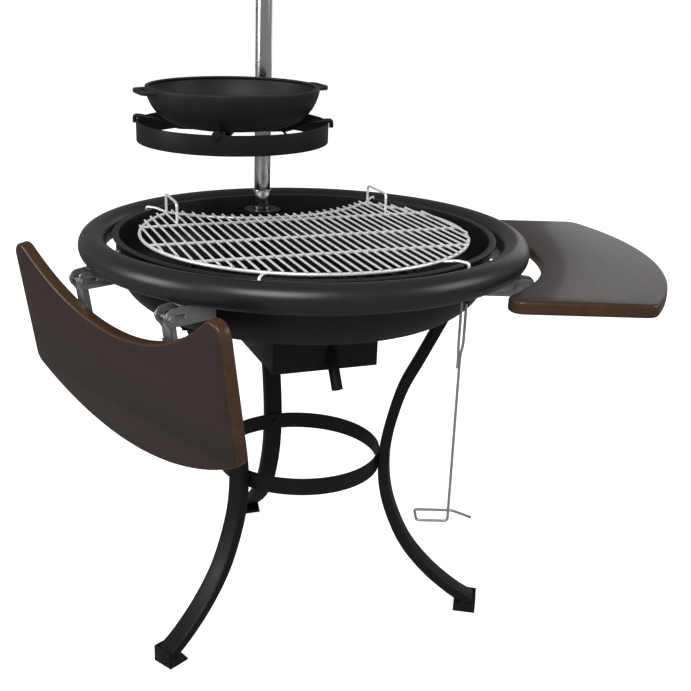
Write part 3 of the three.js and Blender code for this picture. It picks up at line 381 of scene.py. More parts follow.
def polar(radius: float, degrees: float, height: float = 0.0) -> Vector:
    """A point at a radius, an azimuth and a height."""
    angle = math.radians(degrees)
    return Vector((radius * math.cos(angle), radius * math.sin(angle), height))


def turn(degrees: float, axis: str = "Z") -> Matrix:
    """A rotation about a main axis."""
    return Matrix.Rotation(math.radians(degrees), 4, axis)


def shift(x: float = 0.0, y: float = 0.0, z: float = 0.0) -> Matrix:
    """A translation."""
    return Matrix.Translation((x, y, z))


def arc(centre: Point, radius: float, start: float, end: float, steps: int) -> list[Point]:
    """Points along an arc, from one angle to another in degrees."""
    angles = [math.radians(start + (end - start) * i / steps) for i in range(steps + 1)]
    return [(centre[0] + radius * math.cos(a), centre[1] + radius * math.sin(a)) for a in angles]


def bezier(first: Point, control: Point, last: Point, steps: int) -> list[Point]:
    """Points along a quadratic curve.

    Args:
        first: where the curve starts.
        control: the point that it bends towards.
        last: where it ends.
        steps: stretches that it is cut into.

    Returns:
        The points, both ends among them.
    """
    points = []
    for i in range(steps + 1):
        t = i / steps
        weights = ((1 - t) ** 2, 2 * t * (1 - t), t**2)
        points.append(tuple(sum(w * p[k] for w, p in zip(weights, (first, control, last))) for k in (0, 1)))
    return points


def rounded_route(corners: Sequence[Vector], bend: float, steps: int = 6) -> list[Vector]:
    """A straight-sided route whose inner corners are rounded.

    Args:
        corners: the route's ends and corners, in order.
        bend: how far from a corner its rounding starts.
        steps: stretches in each rounding.

    Returns:
        The route's stations.
    """
    route = [corners[0].copy()]
    for before, corner, after in zip(corners, corners[1:], corners[2:]):
        start = corner + (before - corner).normalized() * bend
        end = corner + (after - corner).normalized() * bend
        for i in range(steps + 1):
            t = i / steps
            route.append(start * (1 - t) ** 2 + corner * (2 * t * (1 - t)) + end * t**2)
    return [*route, corners[-1].copy()]


def smooth_route(places: Sequence[Vector], steps: int) -> list[Vector]:
    """A smooth curve through the given places, with evenly spread stations.

    Args:
        places: what the curve passes through, in order.
        steps: stretches of equal length in the result.

    Returns:
        The route's stations.
    """
    padded = [places[0] * 2 - places[1], *places, places[-1] * 2 - places[-2]]
    dense = []
    for a, b, c, d in zip(padded, padded[1:], padded[2:], padded[3:]):
        for i in range(CURVE_STEPS):
            t = i / CURVE_STEPS
            square, cube = t * t, t * t * t
            bend = (a * 2 - b * 5 + c * 4 - d) * square
            dense.append((b * 2 + (c - a) * t + bend + (b * 3 - a - c * 3 + d) * cube) / 2)
    dense.append(places[-1].copy())
    lengths = [0.0]
    for p, q in zip(dense, dense[1:]):
        lengths.append(lengths[-1] + (q - p).length)
    route = []
    index = 0
    for i in range(steps + 1):
        want = lengths[-1] * i / steps
        while index < len(dense) - 2 and lengths[index + 1] < want:
            index += 1
        share = (want - lengths[index]) / (lengths[index + 1] - lengths[index])
        route.append(dense[index].lerp(dense[index + 1], share))
    return route


def round_section(radius: float, sides: int) -> list[Point]:
    """A round section."""
    return arc((0, 0), radius, 0, 360 - 360 / sides, sides - 1)


def box_section(half_width: float, half_depth: float, corner: float, steps: int = 3) -> list[Point]:
    """A rectangular section with rounded corners.

    Args:
        half_width: half the size along the section's first axis.
        half_depth: half the size along its second axis.
        corner: radius of the corners.
        steps: stretches in each corner.

    Returns:
        The section's points, in order.
    """
    points = []
    for i, (x, y) in enumerate(((1, 1), (-1, 1), (-1, -1), (1, -1))):
        centre = (x * (half_width - corner), y * (half_depth - corner))
        points += arc(centre, corner, i * 90, i * 90 + 90, steps)
    return points


def lathe(profile: Sequence[Point], segments: int = 128) -> Shape:
    """Turns a profile of (radius, height) points about the upright axis.

    Args:
        profile: the outline; it is a closed loop when its ends are the same point, and otherwise starts and
            ends on the axis.
        segments: facets round the axis.

    Returns:
        The closed shape.
    """
    shape = bmesh.new()
    looped = profile[0] == profile[-1]
    rings = []
    for radius, height in profile[:-1] if looped else profile:
        count = 1 if radius < TINY else segments
        rings.append([shape.verts.new(polar(radius, 360 * i / segments, height)) for i in range(count)])
    for low, high in zip(rings, [*rings[1:], rings[0]] if looped else rings[1:]):
        for i in range(segments):
            j = (i + 1) % segments
            corners = (low[i % len(low)], low[j % len(low)], high[j % len(high)], high[i % len(high)])
            face = list(dict.fromkeys(corners))
            if len(face) > 2:
                shape.faces.new(face)
    bmesh.ops.recalc_face_normals(shape, faces=shape.faces)
    return shape


def tube(outer: float, inner: float, low: float, high: float, edge: float = 0.6, segments: int = 64) -> Shape:
    """An upright tube or ring with its edges eased.

    Args:
        outer: outer radius.
        inner: radius of the bore.
        low: height of the lower end.
        high: height of the upper end.
        edge: how far the edges are eased.
        segments: facets round the axis.

    Returns:
        The closed shape.
    """
    profile = []
    for radius, height in ((outer, low), (outer, high), (inner, high), (inner, low)):
        level = (radius + (-edge if radius == outer else edge), height)
        upright = (radius, height + (edge if height == low else -edge))
        ends = (level, upright) if (radius == outer) == (height == low) else (upright, level)
        profile += bezier(ends[0], (radius, height), ends[1], 3)
    return lathe([*profile, profile[0]], segments)


def disc(radius: float, low: float, high: float, edge: float = 0.6, segments: int = 48) -> Shape:
    """An upright disc with its edges eased.

    Args:
        radius: its radius.
        low: height of the lower end.
        high: height of the upper end.
        edge: how far the edges are eased.
        segments: facets round the axis.

    Returns:
        The closed shape.
    """
    profile = [(0, low), *bezier((radius - edge, low), (radius, low), (radius, low + edge), 3)]
    profile += [*bezier((radius, high - edge), (radius, high), (radius - edge, high), 3), (0, high)]
    return lathe(profile, segments)


def sweep(route: Sequence[Vector], section: Sequence[Point], up: Vector = Vector((0, 0, 1))) -> Shape:
    """Carries a section along a route, without twist, and closes both ends.

    Args:
        route: the centre line's stations.
        section: points in the plane across the route; the first coordinate lies along up.
        up: the direction that the section's first axis starts nearest to.

    Returns:
        The closed shape.
    """
    shape = bmesh.new()
    rings = []
    normal = up.copy()
    for i, station in enumerate(route):
        before = route[max(i - 1, 0)]
        after = route[min(i + 1, len(route) - 1)]
        along = ((station - before).normalized() + (after - station).normalized()).normalized()
        normal = normal - along * normal.dot(along)
        if normal.length < 0.01:
            normal = along.orthogonal()
        normal.normalize()
        across = along.cross(normal)
        rings.append([shape.verts.new(station + normal * x + across * y) for x, y in section])
    count = len(section)
    for low, high in zip(rings, rings[1:]):
        for i in range(count):
            j = (i + 1) % count
            shape.faces.new((low[i], low[j], high[j], high[i]))
    shape.faces.new(rings[0])
    shape.faces.new(rings[-1])
    bmesh.ops.recalc_face_normals(shape, faces=shape.faces)
    return shape


def rod(route: Sequence[Vector], radius: float, sides: int = 14) -> Shape:
    """A round rod along a route."""
    return sweep(route, round_section(radius, sides))


def straight(start: Vector, end: Vector, radius: float, sides: int = 24, edge: float = 0.5) -> Shape:
    """A straight round bar with eased ends."""
    along = end - start
    return moved(disc(radius, 0, along.length, edge, sides), aim(start, along))


def aim(start: Vector, along: Vector) -> Matrix:
    """The placement that takes local +Z at the origin to a direction at a point."""
    return Matrix.Translation(start) @ along.to_track_quat("Z", "Y").to_matrix().to_4x4()


def block(low: Sequence[float], high: Sequence[float], edge: float = 0.4) -> Shape:
    """A box with its edges eased.

    Args:
        low: the corner with the smallest coordinates.
        high: the corner with the largest.
        edge: how far the edges are eased; zero leaves them sharp.

    Returns:
        The closed shape.
    """
    shape = bmesh.new()
    bmesh.ops.create_cube(shape, size=1)
    size = [b - a for a, b in zip(low, high)]
    centre = [(a + b) / 2 for a, b in zip(low, high)]
    bmesh.ops.transform(shape, matrix=shift(*centre) @ Matrix.Diagonal((*size, 1)), verts=shape.verts)
    if edge:
        bmesh.ops.bevel(shape, geom=shape.edges[:], offset=edge, segments=2, affect="EDGES", profile=0.5)
    return shape


def evaluated(holder: bpy.types.Object) -> bpy.types.Mesh:
    """A plain mesh of an object with its modifiers; the object is removed.

    Args:
        holder: the object to read.

    Returns:
        The mesh, free of modifiers.
    """
    bpy.context.view_layer.update()
    depsgraph = bpy.context.evaluated_depsgraph_get()
    mesh = bpy.data.meshes.new_from_object(holder.evaluated_get(depsgraph))
    bpy.data.objects.remove(holder)
    return mesh


def held(name: str, data: bpy.types.ID) -> bpy.types.Object:
    """A linked object for a mesh, a curve, a lamp or a camera.

    Args:
        name: the object's name.
        data: what it holds.

    Returns:
        The object, at the origin.
    """
    holder = bpy.data.objects.new(name, data)
    bpy.context.scene.collection.objects.link(holder)
    return holder


def as_shape(mesh: bpy.types.Mesh) -> Shape:
    """A shape from a mesh, which is removed.

    Args:
        mesh: the mesh to read.

    Returns:
        The shape.
    """
    shape = bmesh.new()
    shape.from_mesh(mesh)
    bpy.data.meshes.remove(mesh)
    return shape


def as_mesh(shape: Shape, name: str = "shape") -> bpy.types.Mesh:
    """A mesh from a shape, which is freed.

    Args:
        shape: the shape to write.
        name: the mesh's name.

    Returns:
        The mesh.
    """
    mesh = bpy.data.meshes.new(name)
    shape.to_mesh(mesh)
    shape.free()
    return mesh


def plate(
    outline: Sequence[Point], thickness: float, holes: Sequence[Sequence[Point]] = (), rim: float = 0.4
) -> Shape:
    """A flat outline raised from z = 0, with rounded rims.

    Args:
        outline: the outer loop.
        thickness: height of the plate.
        holes: inner loops.
        rim: radius of the rounded rim.

    Returns:
        The closed shape.
    """
    curve = bpy.data.curves.new("outline", "CURVE")
    curve.dimensions = "2D"
    curve.fill_mode = "BOTH"
    curve.extrude = thickness / 2 - rim
    curve.bevel_depth = rim
    curve.offset = -rim
    curve.bevel_resolution = 3 if rim > 1 else 1
    for loop in (outline, *holes):
        spline = curve.splines.new("POLY")
        spline.points.add(len(loop) - 1)
        for point, (x, y) in zip(spline.points, loop):
            point.co = (x, y, 0, 1)
        spline.use_cyclic_u = True
    shape = as_shape(evaluated(held("outline", curve)))
    bpy.data.curves.remove(curve)
    bmesh.ops.remove_doubles(shape, verts=shape.verts, dist=0.001)
    bmesh.ops.recalc_face_normals(shape, faces=shape.faces)
    return moved(shape, shift(z=thickness / 2))


def moved(shape: Shape, place: Matrix) -> Shape:
    """The same shape, put elsewhere."""
    bmesh.ops.transform(shape, matrix=place, verts=shape.verts)
    return shape


def joined(*shapes: Shape) -> Shape:
    """One shape that holds them all.

    Args:
        *shapes: the first is added to, and the others are freed.

    Returns:
        The first shape with all in it.
    """
    whole = shapes[0]
    for shape in shapes[1:]:
        mesh = as_mesh(shape)
        whole.from_mesh(mesh)
        bpy.data.meshes.remove(mesh)
    return whole


def carved(shape: Shape, *cutters: Shape) -> Shape:
    """The shape with the cutters' room taken out of it.

    Args:
        shape: what is cut; it is freed.
        *cutters: closed shapes; they are freed.

    Returns:
        What is left.
    """
    body = held("body", as_mesh(shape))
    tools = [held("cutter", as_mesh(cutter)) for cutter in cutters]
    for tool in tools:
        modifier = body.modifiers.new("cut", "BOOLEAN")
        modifier.operation = "DIFFERENCE"
        modifier.solver = "EXACT"
        modifier.object = tool
    mesh = evaluated(body)
    for tool in tools:
        bpy.data.objects.remove(tool)
    return as_shape(mesh)


# Repeated pieces, made by geometry nodes


class Pattern:
    """A geometry node tree with named inputs, whose result becomes a plain shape."""

    def __init__(self, name: str, inputs: dict[str, str]) -> None:
        """Starts a tree.

        Args:
            name: the tree's name.
            inputs: socket type of each named input.
        """
        self.tree = bpy.data.node_groups.new(name, "GeometryNodeTree")
        interface = self.tree.interface
        interface.new_socket("Geometry", in_out="OUTPUT", socket_type="NodeSocketGeometry")
        interface.new_socket("Geometry", in_out="INPUT", socket_type="NodeSocketGeometry")
        self.identifiers = {}
        for label, kind in {**inputs, "Finish": "NodeSocketMaterial"}.items():
            socket = interface.new_socket(label, in_out="INPUT", socket_type=kind)
            self.identifiers[label] = socket.identifier
        self.graph = Graph(self.tree)
        self.source = self.tree.nodes.new("NodeGroupInput")

    def given(self, label: str) -> Value:
        """One of the tree's inputs."""
        return Value(self.graph, self.source.outputs[label])

    def close(self, instances: Value) -> None:
        """Realises the instances, gives them the finish and ends the tree.

        Args:
            instances: the instances to realise.
        """
        real = self.graph.add("GeometryNodeRealizeInstances", None, {"Geometry": instances})
        given = {"Geometry": real, "Material": self.given("Finish")}
        dressed = self.graph.add("GeometryNodeSetMaterial", None, given)
        self.graph.add("NodeGroupOutput", None, {0: dressed})

    def grow(self, values: dict[str, float], finish: Finish, points: bpy.types.Mesh | None = None) -> Shape:
        """Runs the tree.

        Args:
            values: value of each named input.
            finish: material of the result.
            points: the mesh that the tree starts from, where it has one.

        Returns:
            The result as a shape.
        """
        holder = held(self.tree.name, points or bpy.data.meshes.new("empty"))
        modifier = holder.modifiers.new("pattern", "NODES")
        modifier.node_group = self.tree
        for label, value in {**values, "Finish": finish.material()}.items():
            modifier[self.identifiers[label]] = value
        shape = as_shape(evaluated(holder))
        bmesh.ops.recalc_face_normals(shape, faces=shape.faces)
        return shape


class BarField(Pattern):
    """Parallel bars cut to length by a round frame, with an optional hollow in its rear edge."""

    def __init__(self) -> None:
        """Builds the tree."""
        number = "NodeSocketFloat"
        labels = ("Pitch", "Frame", "Hollow", "Hollow Centre", "Hollow Corner", "Front", "Back", "Height")
        sizes = {**{label: number for label in labels}, "Width": number, "Depth": number}
        super().__init__("bar field", {"Count": "NodeSocketInt", "Sides": "NodeSocketInt", **sizes})
        graph = self.graph
        index = graph.add("GeometryNodeInputIndex")
        across = (index - (self.given("Count") - 1) / 2) * self.given("Pitch")
        rim = (self.given("Frame") ** 2 - across**2).root()
        hollow = self.given("Hollow Centre") - (self.given("Hollow") ** 2 - across**2).root()
        inside = across.size() < self.given("Hollow Corner")
        back = rim + (hollow - rim) * inside + self.given("Back")
        front = -rim - self.given("Front")
        spot = {"X": across, "Y": (front + back) / 2, "Z": self.given("Height")}
        place = graph.add("ShaderNodeCombineXYZ", None, spot)
        line = graph.add("GeometryNodeMeshLine", None, {"Count": self.given("Count")})
        spread = graph.add("GeometryNodeSetPosition", None, {"Geometry": line, "Position": place})
        bar = {"Vertices": self.given("Sides"), "Radius": 0.5, "Depth": 1.0}
        unit = graph.add("GeometryNodeMeshCylinder", None, bar)
        laid = {"Geometry": unit, "Rotation": (math.pi / 2, 0.0, 0.0)}
        level = graph.add("GeometryNodeTransform", None, laid)
        stretch = {"X": self.given("Width"), "Y": back - front, "Z": self.given("Depth")}
        scale = graph.add("ShaderNodeCombineXYZ", None, stretch)
        bars = {"Points": spread, "Instance": level, "Scale": scale}
        self.close(graph.add("GeometryNodeInstanceOnPoints", None, bars))


class Bolts(Pattern):
    """Hexagon bolt heads on washers, one at each point, facing the way that the point's attribute says."""

    FACING = "facing"

    def __init__(self) -> None:
        """Builds the tree."""
        number = "NodeSocketFloat"
        super().__init__("bolts", {"Head": number, "Height": number, "Washer": number, "Sheet": number})
        graph = self.graph
        washer = {"Vertices": 24, "Radius": self.given("Washer"), "Depth": self.given("Sheet")}
        sheet = graph.add("GeometryNodeMeshCylinder", None, washer)
        rest = graph.add("ShaderNodeCombineXYZ", None, {"Z": self.given("Sheet") / 2})
        flat = graph.add("GeometryNodeTransform", None, {"Geometry": sheet, "Translation": rest})
        head = {"Vertices": 6, "Radius": self.given("Head"), "Depth": self.given("Height")}
        hexagon = graph.add("GeometryNodeMeshCylinder", None, head)
        rise = graph.add("ShaderNodeCombineXYZ", None, {"Z": self.given("Sheet") + self.given("Height") / 2})
        raised = graph.add("GeometryNodeTransform", None, {"Geometry": hexagon, "Translation": rise})
        bolt = graph.add("GeometryNodeJoinGeometry", None, {0: flat})
        graph.tree.links.new(raised.socket, bolt.socket.node.inputs[0])
        vector = {"data_type": "FLOAT_VECTOR"}
        facing = graph.add("GeometryNodeInputNamedAttribute", vector, {"Name": self.FACING})
        aimed = {"Factor": 1.0, "Vector": facing}
        rotation = graph.add("FunctionNodeAlignRotationToVector", {"axis": "Z"}, aimed)
        bolts = {"Points": self.given("Geometry"), "Instance": bolt, "Rotation": rotation}
        self.close(graph.add("GeometryNodeInstanceOnPoints", None, bolts))

    def on(self, seats: Iterable[tuple[Vector, Vector]], size: float, finish: Finish) -> Shape:
        """Sets bolts of one size on the given seats.

        Args:
            seats: place and facing of each bolt.
            size: across the corners of the head.
            finish: material of the bolts.

        Returns:
            All the bolts as one shape.
        """
        seats = list(seats)
        points = bpy.data.meshes.new("seats")
        points.from_pydata([place for place, _ in seats], [], [])
        facing = points.attributes.new(self.FACING, "FLOAT_VECTOR", "POINT")
        for entry, (_, way) in zip(facing.data, seats):
            entry.vector = way
        sizes = {"Head": size / 2, "Height": size * 0.4, "Washer": size * 0.65, "Sheet": size * 0.1}
        return self.grow(sizes, finish, points)


# Pieces in the scene


def axis_of(node: str) -> Vector:
    """Middle of a frame node's box, in millimetres."""
    low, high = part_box(node)
    return (low + high) / (2 * MM)


def publish(
    name: str,
    shape: Shape,
    place: Matrix,
    finish: Finish | Timber,
    body: Body,
    nodes: Sequence[str] | None = None,
) -> bpy.types.Object:
    """Makes the finished piece of a shape.

    Args:
        name: the piece's name.
        shape: its form in millimetres, in its own frame.
        place: its frame, in millimetres.
        finish: its surface.
        body: the body that it moves with.
        nodes: frame nodes that it stands for; if not given, the one with the piece's own name.

    Returns:
        The piece, its object at the origin.
    """
    moved(shape, Matrix.Scale(MM, 4) @ place)
    for face in shape.faces:
        face.smooth = True
    for edge in shape.edges:
        edge.smooth = len(edge.link_faces) == 2 and edge.calc_face_angle(math.pi) < SMOOTH_ANGLE
    label = name.replace(" ", "-")
    mesh = as_mesh(shape, label)
    mesh.materials.clear()
    mesh.materials.append(finish.material())
    piece = held(label, mesh)
    if nodes is None:
        nodes = [name.replace(" ", "_")]
    if nodes:
        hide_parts(*nodes)
    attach(piece, body.value)
    log.info("%s: %d faces on %s", name, len(mesh.polygons), body.value)
    return piece


@dataclass
class FireBowl:
    """The pressed bowl, its lip and the mouth above the ash drawer."""

    axis: Matrix
    radius: float = 333
    wall: float = 4
    lip_top: float = 734
    lip_sheet: float = 3
    lip_radius: float = 341
    lip_ease: float = 1.5
    wall_foot: float = 690
    bottom: float = 613.5
    bottom_radius: float = 285
    bulge_drop: float = 50
    mouth: Point = (140, 120)

    def side(self, inset: float) -> list[Point]:
        """The curve from the floor to the upright wall, at a depth inside the outer face.

        Args:
            inset: depth of the wanted face inside the outer one.

        Returns:
            Points of (radius, height), from the floor up.
        """
        wall = (self.radius - inset, self.wall_foot)
        control = (self.radius - inset, self.wall_foot - self.bulge_drop)
        floor = (self.bottom_radius - inset / 2, self.bottom + inset)
        return bezier(floor, control, wall, 16)

    def build(self) -> None:
        """Makes the bowl."""
        under = self.lip_top - self.lip_sheet
        edge = self.lip_sheet / 2
        inner, ease = self.radius - self.wall, self.lip_ease
        profile = [
            (0, self.bottom),
            *self.side(0),
            (self.radius, under),
            *arc((self.lip_radius - edge, under + edge), edge, -90, 90, 5),
            *bezier((inner + ease, self.lip_top), (inner, self.lip_top), (inner, self.lip_top - ease), 3),
            *reversed(self.side(self.wall)),
            (0, self.bottom + self.wall),
        ]
        half_x, half_y = self.mouth[0] / 2, self.mouth[1] / 2
        low = (-half_x, -half_y, self.bottom - self.wall)
        high = (half_x, half_y, self.bottom + self.wall * 2)
        bowl = carved(lathe(profile, 160), block(low, high, 0))
        publish("fire bowl", bowl, self.axis, ENAMEL, Body.STAND)


@dataclass
class TableRing:
    """The rolled sheet ring round the bowl, open underneath."""

    axis: Matrix
    radius: float = 375.5
    section: float = 24.5
    sheet: float = 2
    height: float = 716
    mouth: float = 48

    def build(self) -> None:
        """Makes the ring."""
        centre = (self.radius, self.height)
        start = -90 + self.mouth / 2
        end = 270 - self.mouth / 2
        outside = arc(centre, self.section, start, end, 44)
        inside = arc(centre, self.section - self.sheet, end, start, 32)
        ring = lathe([*outside, *inside, outside[0]], 192)
        publish("table ring", ring, self.axis, RING_PAINT, Body.STAND)


@dataclass
class CookingGrate:
    """The chromed wire grate with its hollowed rear edge, its handles and the hooks that lie on the lip."""

    axis: Matrix
    bars: BarField
    radius: float = 293
    wire: float = 6
    frame_steps: int = 120
    height: float = 731
    bar: float = 4
    pitch: float = 16.9
    count: int = 34
    overhang: float = 7
    hollow: float = 268
    hollow_centre: float = 393
    cross_places: tuple[float, ...] = (105, -34, -158)
    cross_drop: float = 1
    handle_front: float = 112
    handle_rear: float = 204
    handle_height: float = 34
    handle_wire: float = 5
    handle_bend: float = 10
    hook_angles: tuple[float, ...] = (133, 46, -120.5, -59.5)
    hook_reach: float = 346
    hook_drop: float = 11
    hook_bend: float = 5
    overlap: float = 0.7
    lip_top: float = 734
    lip_inner: float = 329

    def frame_wires(self) -> list[Shape]:
        """The round frame, its hollow rear edge and the wires under the bars.

        Returns:
            One shape for each wire.
        """
        corner_y = (self.radius**2 - self.hollow**2 + self.hollow_centre**2) / (2 * self.hollow_centre)
        self.corner = math.sqrt(self.radius**2 - corner_y**2)
        edge = math.degrees(math.atan2(corner_y, self.corner))
        step = (180 + 2 * edge) / self.frame_steps
        outer = [polar(self.radius, edge - step * i, self.height) for i in range(self.frame_steps + 1)]
        reach = math.degrees(math.atan2(self.corner, self.hollow_centre - corner_y))
        rear = arc((0, self.hollow_centre), self.hollow, -90 - reach, -90 + reach, 48)
        wires = [outer, [Vector((x, y, self.height)) for x, y in rear]]
        for y in self.cross_places:
            x = math.sqrt(self.radius**2 - y**2)
            z = self.height - self.cross_drop
            wires.append([Vector((-x, y, z)), Vector((x, y, z))])
        return [rod(route, self.wire / 2, 12) for route in wires]

    def field(self) -> Shape:
        """The bars.

        Returns:
            All the bars as one shape.
        """
        rise = self.wire / 2 + self.bar / 2 - self.overlap
        sizes = {
            "Count": self.count,
            "Sides": 10,
            "Pitch": self.pitch,
            "Frame": self.radius,
            "Hollow": self.hollow,
            "Hollow Centre": self.hollow_centre,
            "Hollow Corner": self.corner,
            "Front": self.wire / 2,
            "Back": self.overhang,
            "Height": self.height + rise,
            "Width": self.bar,
            "Depth": self.bar,
        }
        return self.bars.grow(sizes, CHROME_WIRE)

    def handles(self) -> list[Shape]:
        """The two standing loops.

        Returns:
            One shape for each loop.
        """
        base = self.height + self.wire / 2 + self.bar / 2
        x = (math.floor(self.corner / self.pitch) + 0.5) * self.pitch + self.pitch
        x -= (self.bar + self.handle_wire) / 2 - self.overlap
        top = base + self.handle_height
        loops = []
        for side in (-1, 1):
            front = [Vector((side * x, self.handle_front, z)) for z in (self.height, top)]
            rear = [Vector((side * x, self.handle_rear, z)) for z in (top, self.height)]
            loops.append(rod(rounded_route([*front, *rear], self.handle_bend), self.handle_wire / 2))
        return loops

    def hooks(self) -> list[Shape]:
        """The four hooks that carry the grate on the bowl's lip.

        Returns:
            One shape for each hook.
        """
        level = self.lip_top + SEAT + self.handle_wire / 2
        hooks = []
        for degrees in self.hook_angles:
            corners = [
                polar(self.radius - self.wire, degrees, self.height),
                polar(self.radius + self.wire, degrees, self.height),
                polar(self.lip_inner - self.wire, degrees, level),
                polar(self.hook_reach, degrees, level),
                polar(self.hook_reach, degrees, level - self.hook_drop),
            ]
            hooks.append(rod(rounded_route(corners, self.hook_bend, steps=4), self.handle_wire / 2))
        return hooks

    def build(self) -> None:
        """Makes the grate."""
        grate = joined(*self.frame_wires(), self.field(), *self.handles(), *self.hooks())
        publish("cooking grate", grate, self.axis, CHROME_WIRE, Body.COOKING_GRATE)


@dataclass
class CharcoalGrate:
    """The flat-bar grate on three feet that the charcoal lies on."""

    axis: Matrix
    bars: BarField
    radius: float = 222
    low: float = 639.8
    depth: float = 12
    width: float = 6
    pitch: float = 34
    foot: float = 12
    foot_height: float = 22
    foot_angles: tuple[float, ...] = (150, 30, -90)
    let_in: float = 1.0
    bar_inset: float = 2

    def build(self) -> None:
        """Makes the grate."""
        top = self.low + self.depth
        pieces = [tube(self.radius, self.radius - self.width, self.low, top, segments=96)]
        sizes = {
            "Count": 2 * math.floor((self.radius - self.width) / self.pitch) + 1,
            "Sides": 4,
            "Pitch": self.pitch,
            "Frame": self.radius - self.width,
            "Hollow": 0.0,
            "Hollow Centre": 0.0,
            "Hollow Corner": 0.0,
            "Front": self.let_in,
            "Back": self.let_in,
            "Height": self.low + self.depth / 2,
            "Width": self.width * math.sqrt(2),
            "Depth": (self.depth - self.bar_inset) * math.sqrt(2),
        }
        pieces.append(self.bars.grow(sizes, CAST_IRON))
        half = self.width / 2
        reach = self.radius - half
        inset = self.bar_inset
        pieces.append(block((-reach, -half, self.low + inset), (reach, half, top - inset)))
        for degrees in self.foot_angles:
            spot = polar(self.radius - half, degrees)
            size = self.foot / 2
            low = (spot.x - size, spot.y - size, self.low - self.foot_height)
            pieces.append(block(low, (spot.x + size, spot.y + size, top)))
        grate = joined(*pieces)
        publish("charcoal grate", grate, self.axis, CAST_IRON, Body.CHARCOAL_GRATE)


@dataclass
class Mast:
    """The pole in its socket, with its cap, its pin and the washer that the carrier rests on."""

    place: Matrix
    radius: float = 16
    wall: float = 2
    foot: float = 621.1
    top: float = 1320
    floor: float = 617.8
    fit: float = 0.3
    socket_radius: float = 20
    flange_radius: float = 37
    flange: float = 6
    socket_top: float = 722
    base: tuple[float, float, float] = (76, 46, 3)
    bush_radius: float = 18
    bush_top: float = 761
    cap_height: float = 9
    cap_plug: float = 12
    pin_height: float = 876.5
    pin_radius: float = 2.5
    pin_play: float = 0.6
    pin_tip: float = 24
    pin_reach: float = 41
    pin_tail: float = 22
    pin_bend: float = 8
    holes: tuple[float, ...] = (795, 876.5, 1002, 1105, 1208)
    washer_radius: float = 22
    washer_low: float = 879.5
    washer: float = 2.5

    def build(self) -> None:
        """Makes the pieces of the pole."""
        bore = self.radius + self.fit
        length, depth, sheet = self.base
        foot = block((-length / 2, -depth / 2, self.floor), (length / 2, depth / 2, self.floor + sheet))
        sleeve = tube(self.socket_radius, bore, self.floor + sheet, self.socket_top)
        flange = tube(self.flange_radius, bore, self.socket_top - self.flange, self.socket_top, edge=1.5)
        socket = joined(foot, sleeve, flange)
        publish("pole socket", socket, self.place, BLACK_STEEL, Body.STAND)
        bush = tube(self.bush_radius, bore, self.socket_top + SEAT, self.bush_top, edge=1.0)
        publish("pole bush", bush, self.place, POLE_CHROME, Body.STAND)
        reach = self.radius + self.wall * 2
        drill = self.pin_radius + self.pin_play
        drills = [straight(Vector((-reach, 0, z)), Vector((reach, 0, z)), drill) for z in self.holes]
        column = tube(self.radius, self.radius - self.wall, self.foot, self.top, edge=0.4, segments=72)
        column = carved(column, *drills)
        publish("pole", column, self.place, POLE_CHROME, Body.STAND)
        base = self.top + SEAT
        crown = base + self.cap_height
        dome = bezier((self.radius, base + 2), (self.radius, crown), (0, crown), 10)
        plug = self.radius - self.wall - SEAT
        under = self.top - self.cap_plug
        rim = [(0, under), (plug, under), (plug, base), (self.radius, base)]
        publish("pole cap", lathe([*rim, *dome], 64), self.place, CAP_PLASTIC, Body.STAND)
        level, bent = self.pin_height, self.pin_reach + self.pin_bend
        corners = [
            Vector((-self.pin_tip, 0, level)),
            Vector((self.pin_reach, 0, level)),
            Vector((bent, 0, level - self.pin_bend)),
            Vector((bent, 0, level - self.pin_tail)),
        ]
        pin = rod(rounded_route(corners, self.pin_bend / 2), self.pin_radius, sides=16)
        publish("height pin", pin, self.place, BLACK_STEEL, Body.PIN)
        washer = tube(self.washer_radius, bore, self.washer_low, self.washer_low + self.washer)
        publish("rest washer", washer, self.place, ZINC, Body.LIFT)


